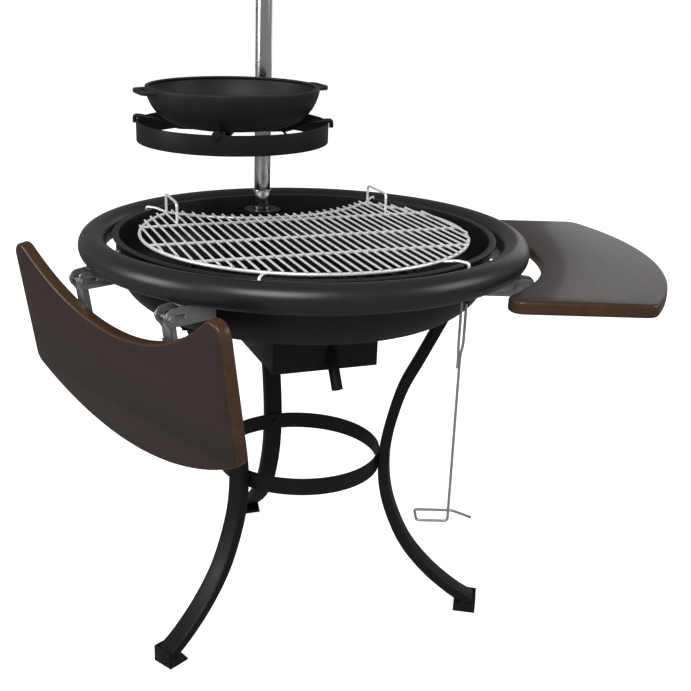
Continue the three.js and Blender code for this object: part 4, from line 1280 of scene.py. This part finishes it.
@dataclass
class Carrier:
    """The sleeve on the pole with its arm, the flat ring and rods that carry a pan, and the wok on them."""

    mast: Matrix
    angle: float = 245.6
    sag: float = 1.22
    sleeve_radius: float = 21
    sleeve_wall: float = 4
    sleeve_low: float = 883.2
    sleeve_height: float = 56
    arm_radius: float = 6
    arm_height: float = 910.006
    arm_tail: float = 24
    head_radius: float = 7.75
    head: float = 4
    rise_start: float = 76
    rise_steps: int = 16
    reach: float = 211
    ring_radius: float = 170
    ring_wall: float = 4
    ring_top: float = 925.5
    ring_band: float = 34
    rod_radius: float = 4
    rod_angle: float = 3.3
    rod_level: float = 96
    rod_hook: float = 12
    rod_bend: float = 4
    wok_radius: float = 153
    wok_rim: float = 986.5
    wok_foot: float = 76
    wok_wall: float = 4.5
    wok_bulge: float = 27
    lip_width: float = 7
    lip_height: float = 6
    ear_angle: float = 5
    ear_reach: float = 21
    ear_width: float = 74
    ear_bar: float = 8
    ear_sheet: float = 8
    ear_drop: float = 2
    ear_corner: float = 10
    ear_rim: float = 2.4

    def __post_init__(self) -> None:
        """Works out the drooping frame and the middle of the pan ring."""
        height = self.sleeve_low + self.sleeve_height / 2
        droop = shift(z=height) @ turn(self.sag, "Y") @ shift(z=-height)
        self.place = self.mast @ turn(self.angle) @ droop
        self.offset = self.sleeve_radius + self.arm_radius + SEAT
        self.pan = self.place @ shift(self.reach, -self.offset)

    def arm_route(self) -> list[Vector]:
        """The arm's centre line: level under the wok, then up into the notch of the ring.

        Returns:
            The stations, from the tail to the tip.
        """
        end = self.reach + self.ring_radius + SEAT
        level = self.reach + self.rise_start
        flat = end - self.ring_wall * 2
        route = [Vector((-self.arm_tail, -self.offset, self.arm_height))]
        for i in range(self.rise_steps + 1):
            share = i / self.rise_steps
            ease = share * share * (3 - 2 * share)
            x = level + (flat - level) * share
            z = self.arm_height + (self.ring_top - self.arm_height) * ease
            route.append(Vector((x, -self.offset, z)))
        return [*route, Vector((end, -self.offset, self.ring_top))]

    def rod_route(self) -> list[Vector]:
        """A cross rod's centre line, from the arm to its hook over the ring.

        Returns:
            The stations, from the arm outwards.
        """
        low = self.arm_height + self.arm_radius - self.rod_radius
        over = self.ring_top + SEAT + self.rod_radius
        outside = self.ring_radius + self.rod_radius + SEAT * 2
        rise = self.ring_radius - self.ring_wall - self.rod_level
        middle = low + (over - low) * 2 / 3
        corners = [
            Vector((self.arm_radius + SEAT * 2, 0, low)),
            Vector((self.rod_level, 0, low)),
            Vector((self.rod_level + rise / 2, 0, middle)),
            Vector((self.rod_level + rise, 0, over)),
            Vector((outside, 0, over)),
            Vector((outside, 0, over - self.rod_hook)),
        ]
        return rounded_route(corners, self.rod_bend)

    def wok_side(self, inset: float) -> list[Point]:
        """The wok's side from its flat foot to the lip, at a depth inside the outer face.

        Args:
            inset: depth of the wanted face inside the outer one.

        Returns:
            Points of (radius, height), from the foot up.
        """
        foot = self.arm_height + self.arm_radius + SEAT * 2
        floor = (self.wok_foot - inset / 2, foot + inset)
        edge = (self.wok_radius - inset, self.wok_rim - self.lip_height)
        middle = ((floor[0] + edge[0]) / 2 + self.wok_bulge, (floor[1] + edge[1]) / 2 - self.wok_bulge)
        return bezier(floor, middle, edge, 20)

    def ear(self) -> Shape:
        """A flat loop handle under the wok's lip.

        Returns:
            The handle, pointing along local +X.
        """
        inner = self.wok_radius - self.wok_wall + 0.1
        outer = self.wok_radius + self.ear_reach
        half = self.ear_width / 2
        corner = self.ear_corner
        end = half - corner / 2
        outline = [(inner, -half)]
        outline += bezier((outer - corner, -end), (outer, -end), (outer, -half + corner * 2), 8)
        outline += bezier((outer, half - corner * 2), (outer, end), (outer - corner, end), 8)
        outline += [(inner, half)]
        near = self.wok_radius + self.ear_bar / 3
        far = outer - self.ear_bar
        slot = half - self.ear_bar * 1.5
        hole = [(near, -slot), (near, slot), (far, slot - self.ear_bar / 2), (far, -slot + self.ear_bar / 2)]
        low = self.wok_rim - self.ear_drop - self.ear_sheet
        return moved(plate(outline, self.ear_sheet, [hole], self.ear_rim), shift(z=low))

    def wok(self) -> Shape:
        """The cast wok with its lip and ears.

        Returns:
            The wok about the upright axis of the pan ring.
        """
        foot = self.arm_height + self.arm_radius + SEAT * 2
        lip, edge, rim, ease = self.wok_radius - self.lip_width, self.wok_radius, self.wok_rim, 2
        profile = [
            (0, foot),
            *self.wok_side(0),
            *bezier((edge, rim - ease), (edge, rim), (edge - ease, rim), 4),
            *bezier((lip + ease, rim), (lip, rim), (lip, rim - ease), 4),
            *reversed(self.wok_side(self.wok_wall)),
            (0, foot + self.wok_wall),
        ]
        swing = self.ear_angle - self.angle
        ears = [moved(self.ear(), turn(swing + half)) for half in (0, 180)]
        return joined(lathe(profile, 144), *ears)

    def build(self) -> None:
        """Makes the carrier and the wok."""
        top = self.sleeve_low + self.sleeve_height
        bore = self.sleeve_radius - self.sleeve_wall
        sleeve = tube(self.sleeve_radius, bore, self.sleeve_low, top, edge=1.2)
        publish("swing sleeve", sleeve, self.place, BLACK_STEEL, Body.CARRIER)
        route = self.arm_route()
        tip = route[-1] + Vector((self.head, 0, 0))
        head = straight(route[-1], tip, self.head_radius, sides=32, edge=1.2)
        arm = joined(rod(route, self.arm_radius, sides=20), head)
        publish("carrier arm", arm, self.place, BLACK_STEEL, Body.CARRIER)
        low = self.ring_top - self.ring_band
        inner = self.ring_radius - self.ring_wall
        band = tube(self.ring_radius, inner, low, self.ring_top, edge=0.8, segments=160)
        notch = rod(route, self.arm_radius + SEAT, sides=20)
        band = carved(moved(band, shift(self.reach, -self.offset)), notch)
        publish("pan ring", band, self.place, BLACK_STEEL, Body.CARRIER)
        for name, side in (("right", 1), ("left", -1)):
            shape = rod(self.rod_route(), self.rod_radius, sides=16)
            shape = moved(shape, turn(side * 90 + self.rod_angle))
            publish(f"cross rod {name}", shape, self.pan, BLACK_STEEL, Body.CARRIER)
        publish("wok", self.wok(), self.pan, CAST_IRON, Body.WOK, ["wok", "wok_ear_right", "wok_ear_left"])


@dataclass
class SideTable:
    """A board with its two sliding pivots, in a frame whose local +X points out from the bowl."""

    side: Side
    axis: Matrix
    bolts: Bolts
    angle: float
    slid: float
    folded: float
    body: Body
    pivots: Body
    bowl_radius: float = 333
    bracket_top: float = 693.3
    inner_radius: float = 422.5
    outer_radius: float = 628
    half_width: float = 301.5
    thickness: float = 22
    top: float = 700
    corner: float = 23.5
    edge: float = 5
    spread: float = 128
    pivot_height: float = 677
    pivot_inner: float = 365
    pivot_outer: float = 389
    pivot_radius: float = 3
    pivot_fit: float = 0.9
    bracket_width: float = 30
    sheet: float = 2
    bracket_end: float = 15
    bracket_sunk: float = 4
    bracket_round: float = 382
    bracket_shoulder: float = 368
    flange_top: float = 725
    flange_sheet: float = 3
    wall_span: Point = (600, 760)
    bolt_drop: float = 12
    bolt_head: float = 7
    pivot_head: float = 12
    shank_tail: float = 6
    shank_head: float = 1
    arm_play: float = 0.5
    arm_eye: float = 9.5
    arm_depth: float = 10
    plate_start: float = 404.5
    plate_end: float = 472.5
    plate_width: float = 34
    web_lap: float = 1
    flat_enough: float = 0.9  # cosine of the slope at which the board's face turns into its rim

    def __post_init__(self) -> None:
        """Works out the frames of the fixed, sliding and folding pieces."""
        self.fixed = self.axis @ turn(self.angle)
        self.sliding = self.fixed @ shift(self.slid)
        pivot = shift(self.pivot_inner, 0, self.pivot_height)
        self.leaf = self.sliding @ pivot @ turn(self.folded, "Y") @ pivot.inverted()

    def outline(self) -> list[Point]:
        """Two concentric arcs, parallel sides and rounded corners.

        Returns:
            The board's loop, seen from above.
        """
        across = self.half_width - self.corner
        outer_far = self.outer_radius - self.corner
        inner_far = self.inner_radius + self.corner
        outer_x = math.sqrt(outer_far**2 - across**2)
        inner_x = math.sqrt(inner_far**2 - across**2)
        outer = math.degrees(math.atan2(across, outer_x))
        inner = math.degrees(math.atan2(across, inner_x))
        return [
            *arc((inner_x, across), self.corner, inner + 180, 90, 12),
            *arc((outer_x, across), self.corner, 90, outer, 12),
            *arc((0, 0), self.outer_radius, outer, -outer, 64)[1:-1],
            *arc((outer_x, -across), self.corner, -outer, -90, 12),
            *arc((inner_x, -across), self.corner, -90, -180 - inner, 12),
            *arc((0, 0), self.inner_radius, -inner, inner, 64)[1:-1],
        ]

    def timber(self, name: str, light: Colour, dark: Colour, roughness: float) -> Timber:
        """The board's wood, its grain in the board's own frame.

        Args:
            name: first words of the finish's name.
            light: the palest brown.
            dark: the darkest brown.
            roughness: roughness of the varnished face.

        Returns:
            The finish.
        """
        place = self.leaf.copy()
        place.translation = place.translation * MM
        label = f"{name} {self.side.value}"
        return Timber(label, place, dark, light, pore=(0.008, 0.005, 0.004), roughness=roughness, coat=0.22)

    def board(self) -> None:
        """Makes the wooden board; its rounded rim shows a lighter brown than its faces, which is a painted
        highlight.
        """
        sheet = plate(self.outline(), self.thickness, rim=self.edge)
        shape = moved(sheet, shift(z=self.top - self.thickness))
        faces = self.timber("board", (0.021, 0.0115, 0.0092), (0.011, 0.0062, 0.005), 0.42)
        side = self.side.value
        piece = publish(f"side board {side}", shape, self.leaf, faces, self.body)
        # The rim's lighter, warmer brown is a painted highlight: a lit copy of the faces' wood, given to the
        # faces that turn to the side.
        rim = self.timber("board rim", (0.048, 0.022, 0.0095), (0.025, 0.012, 0.006), 0.36)
        piece.data.materials.append(rim.material())
        up = (self.leaf.to_3x3() @ Vector((0, 0, 1))).normalized()
        for face in piece.data.polygons:
            if abs(face.normal.dot(up)) < self.flat_enough:
                face.material_index = 1

    def slot(self, radius: float) -> list[Point]:
        """The bracket's slot between the two pivot places."""
        ahead = arc((self.pivot_outer, self.pivot_height), radius, -90, 90, 10)
        return [*ahead, *arc((self.pivot_inner, self.pivot_height), radius, 90, 270, 10)]

    def cheeks(self, outline: Sequence[Point], y: float, half: float, hole: Sequence[Point]) -> list[Shape]:
        """Two upright plates in local X and Z, the outer faces at half to each side of y.

        Args:
            outline: loop of one plate.
            y: the middle between the plates.
            half: distance from there to each outer face.
            hole: loop that is cut out of both plates.

        Returns:
            The two plates.
        """
        sheet = self.sheet
        places = (y - half, y + half - sheet)
        return [
            moved(plate(outline, sheet, [hole], rim=0.3), shift(y=place + sheet) @ turn(90, "X"))
            for place in places
        ]

    def bracket(self, y: float) -> Shape:
        """The slotted channel on the bowl's wall.

        Args:
            y: the bracket's place across the table.

        Returns:
            The bracket with its flange.
        """
        edge = math.sqrt((self.bowl_radius + SEAT) ** 2 - y**2)
        start = edge - self.bracket_sunk
        low = self.pivot_height - self.bracket_end
        outline = [(start, low), (self.bracket_round, low)]
        outline += arc((self.bracket_round, self.pivot_height), self.bracket_end, -90, 90, 12)
        outline += [(self.bracket_shoulder, self.bracket_top), (start, self.bracket_top)]
        half = self.bracket_width / 2
        hole = self.slot(self.pivot_radius + self.pivot_fit)
        top = self.bracket_top
        web = block((start, y - half, top - self.sheet), (self.bracket_shoulder, y + half, top))
        pieces = (*self.cheeks(outline, y, half, hole), web)
        return joined(*(self.trimmed(piece) for piece in pieces), self.flange(y))

    def trimmed(self, shape: Shape) -> Shape:
        """The shape without what lies inside the bowl's wall."""
        wall = disc(self.bowl_radius + SEAT, *self.wall_span, edge=0, segments=256)
        return carved(shape, wall)

    def flange(self, y: float) -> Shape:
        """The curved foot that is bolted to the bowl's wall.

        Args:
            y: the bracket's place across the table.

        Returns:
            The flange.
        """
        half = self.bracket_width / 2
        inner = self.bowl_radius + SEAT
        outer = inner + self.flange_sheet
        start = math.degrees(math.asin((y - half) / inner))
        end = math.degrees(math.asin((y + half) / inner))
        outline = [*arc((0, 0), outer, start, end, 8), *arc((0, 0), inner, end, start, 8)]
        low = self.bracket_top - self.sheet
        return moved(plate(outline, self.flange_top - low, rim=0.3), shift(z=low))

    def arm(self, y: float) -> Shape:
        """The folded arm under the board with an eye in each cheek.

        Args:
            y: the arm's place across the table.

        Returns:
            The arm.
        """
        top = self.top - self.thickness - SEAT
        bottom = self.pivot_height - self.arm_depth
        eye_place = (self.pivot_inner, self.pivot_height)
        outline = [(self.plate_end - self.arm_depth, bottom), (self.plate_end, top)]
        outline += [(self.pivot_inner + self.arm_eye * 2, top)]
        outline += arc(eye_place, self.arm_eye, 45, 270, 18)
        eye = arc(eye_place, self.pivot_radius + self.pivot_fit, 0, 345, 23)
        half = self.bracket_width / 2 - self.sheet - self.arm_play
        under = top - self.sheet
        start = self.pivot_inner + self.arm_eye + SEAT
        web = block((start, y - half, under), (self.plate_start + self.web_lap, y + half, top))
        side = self.plate_width / 2
        grip = block((self.plate_start, y - side, under), (self.plate_end, y + side, top))
        return joined(*self.cheeks(outline, y, half, eye), web, grip)

    def pivot(self, y: float, outward: int) -> Shape:
        """The bolt across the channel, with its head and nut.

        Args:
            y: the hinge's place across the table.
            outward: 1 if the head faces +Y, -1 if it faces -Y.

        Returns:
            The bolt, head and nut.
        """
        half = self.bracket_width / 2 + SEAT
        place = Vector((self.pivot_inner, y, self.pivot_height))
        way = Vector((0, outward, 0))
        nut = place - way * half
        tip = place + way * (half + self.shank_head)
        shank = straight(nut - way * self.shank_tail, tip, self.pivot_radius)
        heads = self.bolts.on([(place + way * half, way), (nut, -way)], self.pivot_head, ZINC)
        return joined(shank, heads)

    def build(self) -> None:
        """Makes the table and its hinges."""
        self.board()
        side = self.side.value
        front = -1 if self.side is Side.RIGHT else 1
        for end, sign in (("front", front), ("rear", -front)):
            y = sign * self.spread
            name = f"{side} {end}"
            bolt = self.pivot(y, sign)
            publish(f"hinge bracket {name}", self.bracket(y), self.fixed, ZINC, Body.STAND)
            publish(f"pivot bolt {name}", bolt, self.sliding, ZINC, self.pivots)
            publish(f"hinge arm {name}", self.arm(y), self.leaf, ZINC, self.body)
            azimuth = math.degrees(math.asin(y / self.bowl_radius))
            face = self.bowl_radius + SEAT + self.flange_sheet
            spot = polar(face, azimuth, self.flange_top - self.bolt_drop)
            head = self.bolts.on([(spot, Vector((spot.x, spot.y, 0)).normalized())], self.bolt_head, ZINC)
            publish(f"bracket bolt {name}", head, self.fixed, ZINC, Body.STAND, ())


@dataclass
class Legs:
    """Three bent rectangular tubes with their mounts, feet and hoop."""

    axis: Matrix
    bolts: Bolts
    bowl_bottom: float = 613.5
    bowl_bottom_radius: float = 285
    width: float = 36
    depth: float = 20
    corner: float = 4
    mount: float = 3
    mount_size: Point = (62, 54)
    mount_inset: float = 2
    reach: float = 350
    foot_height: float = 20
    reach_shares: tuple[float, ...] = (0.766, 0.64, 0.555, 0.498, 0.474, 0.488, 0.54, 0.622, 0.746, 0.888, 1)
    height_shares: tuple[float, ...] = (1, 0.838, 0.728, 0.6, 0.49, 0.38, 0.28, 0.186, 0.102, 0.036, 0)
    hoop_radius: float = 155.4
    hoop_top: float = 314
    hoop_band: float = 32
    hoop_wall: float = 4
    sole_sheet: float = 3
    sole_start: float = 318
    sole_end: float = 360
    cheek_top: float = 31
    cheek_slope: float = 22
    bolt_head: float = 10
    mount_bolt: Point = (8, 20)
    foot_bolt: Point = (346, 18)

    def route(self) -> list[Vector]:
        """A leg's centre line in its own plane.

        Returns:
            The stations, from the mount down to the foot.
        """
        top = self.bowl_bottom - SEAT - self.mount - SEAT
        places = [
            Vector((self.reach * share, 0, self.foot_height + (top - self.foot_height) * rise))
            for share, rise in zip(self.reach_shares, self.height_shares)
        ]
        return smooth_route(places, 64)

    def leg(self) -> Shape:
        """A bent tube cut level under its mount.

        Returns:
            The leg in its own plane.
        """
        route = self.route()
        first = route[0] + (route[0] - route[1]).normalized() * self.width / 2
        section = box_section(self.width / 2, self.depth / 2, self.corner)
        shape = sweep([first, *route], section, Vector((0, 1, 0)))
        level = self.bowl_bottom - 2 * SEAT - self.mount
        size = self.width * 2
        high = (route[0].x + size, size, level + size)
        return carved(shape, block((route[0].x - size, -size, level), high, 0))

    def foot(self) -> Shape:
        """The bent sheet foot.

        Returns:
            The foot in the plane of its leg.
        """
        inner = self.width / 2 + SEAT
        cheek = [
            (self.sole_start, 0),
            (self.sole_end, 0),
            (self.sole_end, self.cheek_top),
            (self.sole_start + self.cheek_slope, self.cheek_top),
            (self.sole_start, self.sole_sheet),
        ]
        outer = inner + self.sole_sheet
        sole = block((self.sole_start, -outer, 0), (self.sole_end, outer, self.sole_sheet))
        end = block((self.sole_end - self.sole_sheet, -outer, 0), (self.sole_end, outer, self.cheek_top))
        sides = [moved(plate(cheek, self.sole_sheet), shift(y=y) @ turn(90, "X")) for y in (outer, -inner)]
        return joined(sole, end, *sides)

    def build(self) -> None:
        """Makes the legs, mounts, feet, hoop and bolts."""
        high = self.bowl_bottom - SEAT
        outer = self.bowl_bottom_radius - SEAT
        length, width = self.mount_size
        for name, degrees in (("rear", 90), ("right", -30), ("left", -150)):
            place = self.axis @ turn(degrees)
            publish(f"leg {name}", self.leg(), place, BLACK_STEEL, Body.STAND)
            low = (outer - length, -width / 2, high - self.mount)
            sheet = block(low, (outer - self.mount_inset, width / 2, high))
            publish(f"leg mount {name}", sheet, place, BLACK_STEEL, Body.STAND)
            publish(f"foot {name}", self.foot(), place, BLACK_STEEL, Body.STAND)
            down = Vector((0, 0, -1))
            inset, apart = self.mount_bolt
            under = [(Vector((outer - inset, y, high - self.mount)), down) for y in (-apart, apart)]
            side = self.width / 2 + SEAT + self.sole_sheet
            far, rise = self.foot_bolt
            cheeks = [(Vector((far, sign * side, rise)), Vector((0, sign, 0))) for sign in (-1, 1)]
            inside = self.hoop_radius - self.hoop_wall
            hoop = [(Vector((inside, 0, self.hoop_top - self.hoop_band / 2)), Vector((-1, 0, 0)))]
            fasteners = self.bolts.on([*under, *cheeks, *hoop], self.bolt_head, BLACK_STEEL)
            publish(f"leg bolts {name}", fasteners, place, BLACK_STEEL, Body.STAND, ())
        inner = self.hoop_radius - self.hoop_wall
        low = self.hoop_top - self.hoop_band
        band = tube(self.hoop_radius, inner, low, self.hoop_top, edge=0.8, segments=144)
        publish("leg hoop", band, self.axis, BLACK_STEEL, Body.STAND)


@dataclass
class AshBox:
    """The housing under the bowl with its drawer and pull."""

    axis: Matrix
    half_width: float = 98
    front: float = -130
    rear: float = 110
    floor: float = 512
    top: float = 613.2
    sheet: float = 2
    running: float = 1.2
    tray_height: float = 80
    lip: float = 1.5
    pull_radius: float = 10
    pull_wall: float = 2
    pull_height: float = 545
    pull_place: float = 10
    pull_reach: float = 35
    pull_drop: float = 58

    def tray(self, low: Sequence[float], high: Sequence[float], open_front: bool) -> Shape:
        """Floor and walls of sheet, open on top.

        Args:
            low: the corner with the smallest coordinates.
            high: the corner with the largest.
            open_front: whether the front wall is left out.

        Returns:
            The tray.
        """
        sheet = self.sheet
        walls = [
            (low, (high[0], high[1], low[2] + sheet)),
            (low, (low[0] + sheet, high[1], high[2])),
            ((high[0] - sheet, low[1], low[2]), high),
            ((low[0], high[1] - sheet, low[2]), high),
        ]
        if not open_front:
            walls.append((low, (high[0], low[1] + sheet, high[2])))
        return joined(*(block(*ends, edge=0.3) for ends in walls))

    def pull(self) -> Shape:
        """The open tube that the drawer is pulled by.

        Returns:
            The tube, cut along the drawer's face.
        """
        face = self.front - SEAT * 2
        start = Vector((self.pull_place, face + self.pull_radius, self.pull_height + self.pull_radius))
        end = Vector((self.pull_place, self.front - self.pull_reach, self.pull_height - self.pull_drop))
        along = (end - start).normalized()
        past = end + along * self.pull_wall * 2
        bore = straight(start - along, past, self.pull_radius - self.pull_wall, sides=32, edge=0)
        room = self.pull_reach
        wall = block((-room, face, self.floor - room), (room, face + room * 2, self.top), 0)
        return carved(straight(start, end, self.pull_radius, sides=48), bore, wall)

    def build(self) -> None:
        """Makes the housing, the drawer and the pull."""
        width = self.half_width
        low = (-width, self.front + self.sheet, self.floor)
        housing = self.tray(low, (width, self.rear, self.top), open_front=True)
        publish("ash housing", housing, self.axis, BLACK_STEEL, Body.STAND)
        side = width - self.sheet - self.running
        level = self.floor + self.sheet + SEAT
        front = self.front + self.sheet - SEAT
        rear = self.rear - self.sheet - self.running
        low = (-side, front - self.sheet / 2, level)
        inner = self.tray(low, (side, rear, level + self.tray_height), open_front=False)
        panel = block((-width, front - self.sheet, self.floor), (width, front, self.top - self.lip))
        publish("ash drawer", joined(inner, panel), self.axis, BLACK_STEEL, Body.DRAWER)
        publish("ash handle", self.pull(), self.axis, BLACK_STEEL, Body.DRAWER)


@dataclass
class Lifter:
    """The bent-wire grate lifter on its peg, in a frame whose local +X points out from the bowl."""

    axis: Matrix
    angle: float = -64
    radius: float = 360
    wire: float = 4.6
    top: float = 690
    neck: float = 590
    foot: float = 288
    loop_half: float = 6.5
    hook_width: float = 39
    hook_length: float = 53
    tail_back: float = 42
    tail_side: float = 15
    turn_back: float = 12
    bend: float = 7
    heading: float = 160
    peg_radius: float = 2.5
    peg_tip: float = 369
    peg_plate: float = 18
    peg_plate_top: float = 722
    peg_sheet: float = 3
    peg_gap: float = 1
    bowl_radius: float = 333

    def route(self) -> list[Vector]:
        """The wire's centre line, from the foot's tail round the hook, up the shank and round the loop.

        Returns:
            The stations, from the foot's tail to the wire's other end.
        """
        way = math.radians(self.heading - self.angle)
        along = Vector((math.cos(way), math.sin(way), 0))
        across = Vector((-math.sin(way), math.cos(way), 0))
        centre = Vector((self.radius, 0, 0))

        def at(forward: float, sideways: float, z: float) -> Vector:
            """A place in the hook's own directions."""
            return centre + along * forward + across * sideways + Vector((0, 0, z))

        low = self.foot + self.wire / 2
        crown = self.top - self.wire / 2
        rise = self.loop_half * 3
        lower = [
            at(-self.tail_back, -self.tail_side, low),
            at(-self.turn_back, -self.hook_width, low),
            at(self.hook_length, -self.hook_width, low),
            at(self.hook_length, 0, low),
            at(0, 0, low),
            at(0, 0, self.neck),
            Vector((self.radius, self.loop_half, self.neck + rise)),
            Vector((self.radius, self.loop_half, crown - self.loop_half)),
        ]
        bow = arc((0, crown - self.loop_half), self.loop_half, 0, 180, 16)
        arch = [Vector((self.radius, y, z)) for y, z in bow[1:-1]]
        gap = self.wire + SEAT
        end = [
            Vector((self.radius, -self.loop_half, crown - self.loop_half)),
            Vector((self.radius, -self.loop_half, self.neck + rise)),
            Vector((self.radius, -gap, self.neck)),
            Vector((self.radius, -gap, self.neck - rise)),
        ]
        return [*rounded_route(lower, self.bend, 8), *arch, *rounded_route(end, self.bend, 6)]

    def build(self) -> None:
        """Makes the lifter and its peg."""
        place = self.axis @ turn(self.angle)
        lifter = rod(self.route(), self.wire / 2, 12)
        publish("grate lifter", lifter, place, TOOL_WIRE, Body.LIFTER)
        height = self.top - self.wire - self.peg_radius - SEAT * 2
        start = Vector((self.bowl_radius + SEAT, 0, height))
        peg = straight(start, Vector((self.peg_tip, 0, height)), self.peg_radius)
        half = self.peg_plate / 2
        low = (self.bowl_radius + self.peg_gap, -half, height - half)
        sheet = block(low, (self.bowl_radius + self.peg_sheet + SEAT, half, self.peg_plate_top))
        publish("tool peg", joined(peg, sheet), place, BLACK_STEEL, Body.STAND)


def dress_plain_nodes() -> None:
    """Gives the frame's own plain straps their finish."""
    for name in ("ring_stay_1", "ring_stay_2"):
        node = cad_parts[name]
        node.data.materials.clear()
        node.data.materials.append(BLACK_STEEL.material())
        log.info("%s: kept as the frame has it", name)


@dataclass
class Studio:
    """A pale floor in a white surround, soft lamps and the photograph's camera. Lengths are in metres."""

    LAMPS = (
        ("key", (-1.6, -2.2, 3.0), 100, 1.8),
        ("left strip", (-3.2, 0.2, 1.6), 44, 1.4),
        ("right fill", (2.8, -1.6, 2.2), 36, 1.6),
        ("rear window", (3.0, 2.5, 1.6), 6.5, 1.7),
    )

    camera_offset: Vector
    azimuth: float = -19.5
    pitch: float = 19.247
    roll: float = 1.37
    lens: float = 54.71
    sensor: float = 36
    frame_shift: Point = (0.0666, 0.0041)
    floor_size: float = 9.0
    floor_sheet: float = 0.02
    floor_drop: float = 0.0005
    floor_tone: float = 0.8
    floor_dimming: float = 0.65  # what the tone loses where it is seen in a gloss
    floor_roughness: float = 0.9
    aim_height: float = 0.7
    fill: float = 0.85
    mirrored: float = 0.24
    glow: float = 0.5

    def white_surface(self, name: str) -> bpy.types.Material:
        """A surface that reads as white where nothing shades it.

        Args:
            name: the material's name.

        Returns:
            The material.
        """
        material, graph, shader = new_material(name)
        gloss = graph.add("ShaderNodeLightPath", output="Is Glossy Ray")
        graph.feed(shader.inputs["Base Color"], self.floor_tone - gloss * self.floor_dimming)
        graph.feed(shader.inputs["Roughness"], self.floor_roughness)
        seen = graph.add("ShaderNodeLightPath", output="Is Camera Ray")
        glow = graph.add("ShaderNodeEmission", None, {"Strength": seen * self.glow})
        surface = graph.add("ShaderNodeAddShader", None, {0: Value(graph, shader.outputs[0]), 1: glow})
        graph.feed(material.node_tree.nodes["Material Output"].inputs["Surface"], surface)
        return material

    def lamp(self, name: str, spot: Vector, target: Vector, power: float, size: float) -> None:
        """A square soft lamp aimed at a point.

        Args:
            name: the lamp's name.
            spot: where it stands.
            target: the point that it faces.
            power: its power in watts.
            size: length of its side.
        """
        light = bpy.data.lights.new(name, "AREA")
        light.energy = power
        light.size = size
        lamp = held(name, light)
        lamp.matrix_world = aim(spot, spot - target)

    def world(self) -> None:
        """A white surround that lights softly."""
        world = bpy.data.worlds.new("surround")
        world.use_nodes = True
        graph = Graph(world.node_tree)
        seen = graph.add("ShaderNodeLightPath", output="Is Camera Ray")
        gloss = graph.add("ShaderNodeLightPath", output="Is Glossy Ray")
        clear = graph.add("ShaderNodeLightPath", output="Is Transmission Ray")
        shown = (seen + clear).clipped()
        strength = self.fill + shown * (1 - self.fill) - gloss * (self.fill - self.mirrored)
        graph.feed(world.node_tree.nodes["Background"].inputs["Color"], (1, 1, 1, 1))
        graph.feed(world.node_tree.nodes["Background"].inputs["Strength"], strength)
        bpy.context.scene.world = world

    def build(self) -> None:
        """Makes the floor, the lamps and the camera."""
        reach = self.floor_size
        slab = block((-reach, -reach, -self.floor_sheet), (reach, reach, 0), edge=0)
        floor = held("floor", as_mesh(slab))
        floor.location.z = -self.floor_drop
        floor.data.materials.append(self.white_surface("pale floor"))
        self.world()
        middle = Vector((0, 0, self.aim_height))
        for name, spot, power, size in self.LAMPS:
            self.lamp(name, Vector(spot), middle, power, size)
        camera = bpy.data.cameras.new("camera")
        camera.lens = self.lens
        camera.sensor_width = self.sensor
        camera.shift_x, camera.shift_y = self.frame_shift
        holder = held("camera", camera)
        looking = turn(self.azimuth) @ turn(90 - self.pitch, "X") @ turn(self.roll)
        holder.matrix_world = Matrix.Translation(self.camera_offset) @ looking
        bpy.context.scene.camera = holder
        bpy.context.scene.view_settings.view_transform = "Standard"


def main() -> None:
    """Builds every sub-assembly in order."""
    logging.basicConfig(level=logging.INFO, format="%(message)s")
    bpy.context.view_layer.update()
    centre = axis_of("table_ring")
    axis = shift(centre.x, centre.y)
    pole = axis_of("pole")
    mast = shift(pole.x, pole.y)
    bars = BarField()
    bolts = Bolts()
    FireBowl(axis).build()
    TableRing(axis).build()
    CookingGrate(axis, bars).build()
    CharcoalGrate(axis, bars).build()
    Mast(mast).build()
    Carrier(mast).build()
    SideTable(Side.RIGHT, axis, bolts, -20.5, 0, 0, Body.RIGHT_TABLE, Body.RIGHT_PIVOTS).build()
    SideTable(Side.LEFT, axis, bolts, 202.0, 24, 98.8, Body.LEFT_TABLE, Body.LEFT_PIVOTS).build()
    Legs(axis, bolts).build()
    AshBox(axis).build()
    Lifter(axis).build()
    dress_plain_nodes()
    Studio(Vector((-0.622, -1.747, 1.156)) + Vector((centre.x, centre.y, 0)) * MM).build()


if __name__ == "__main__":
    main()
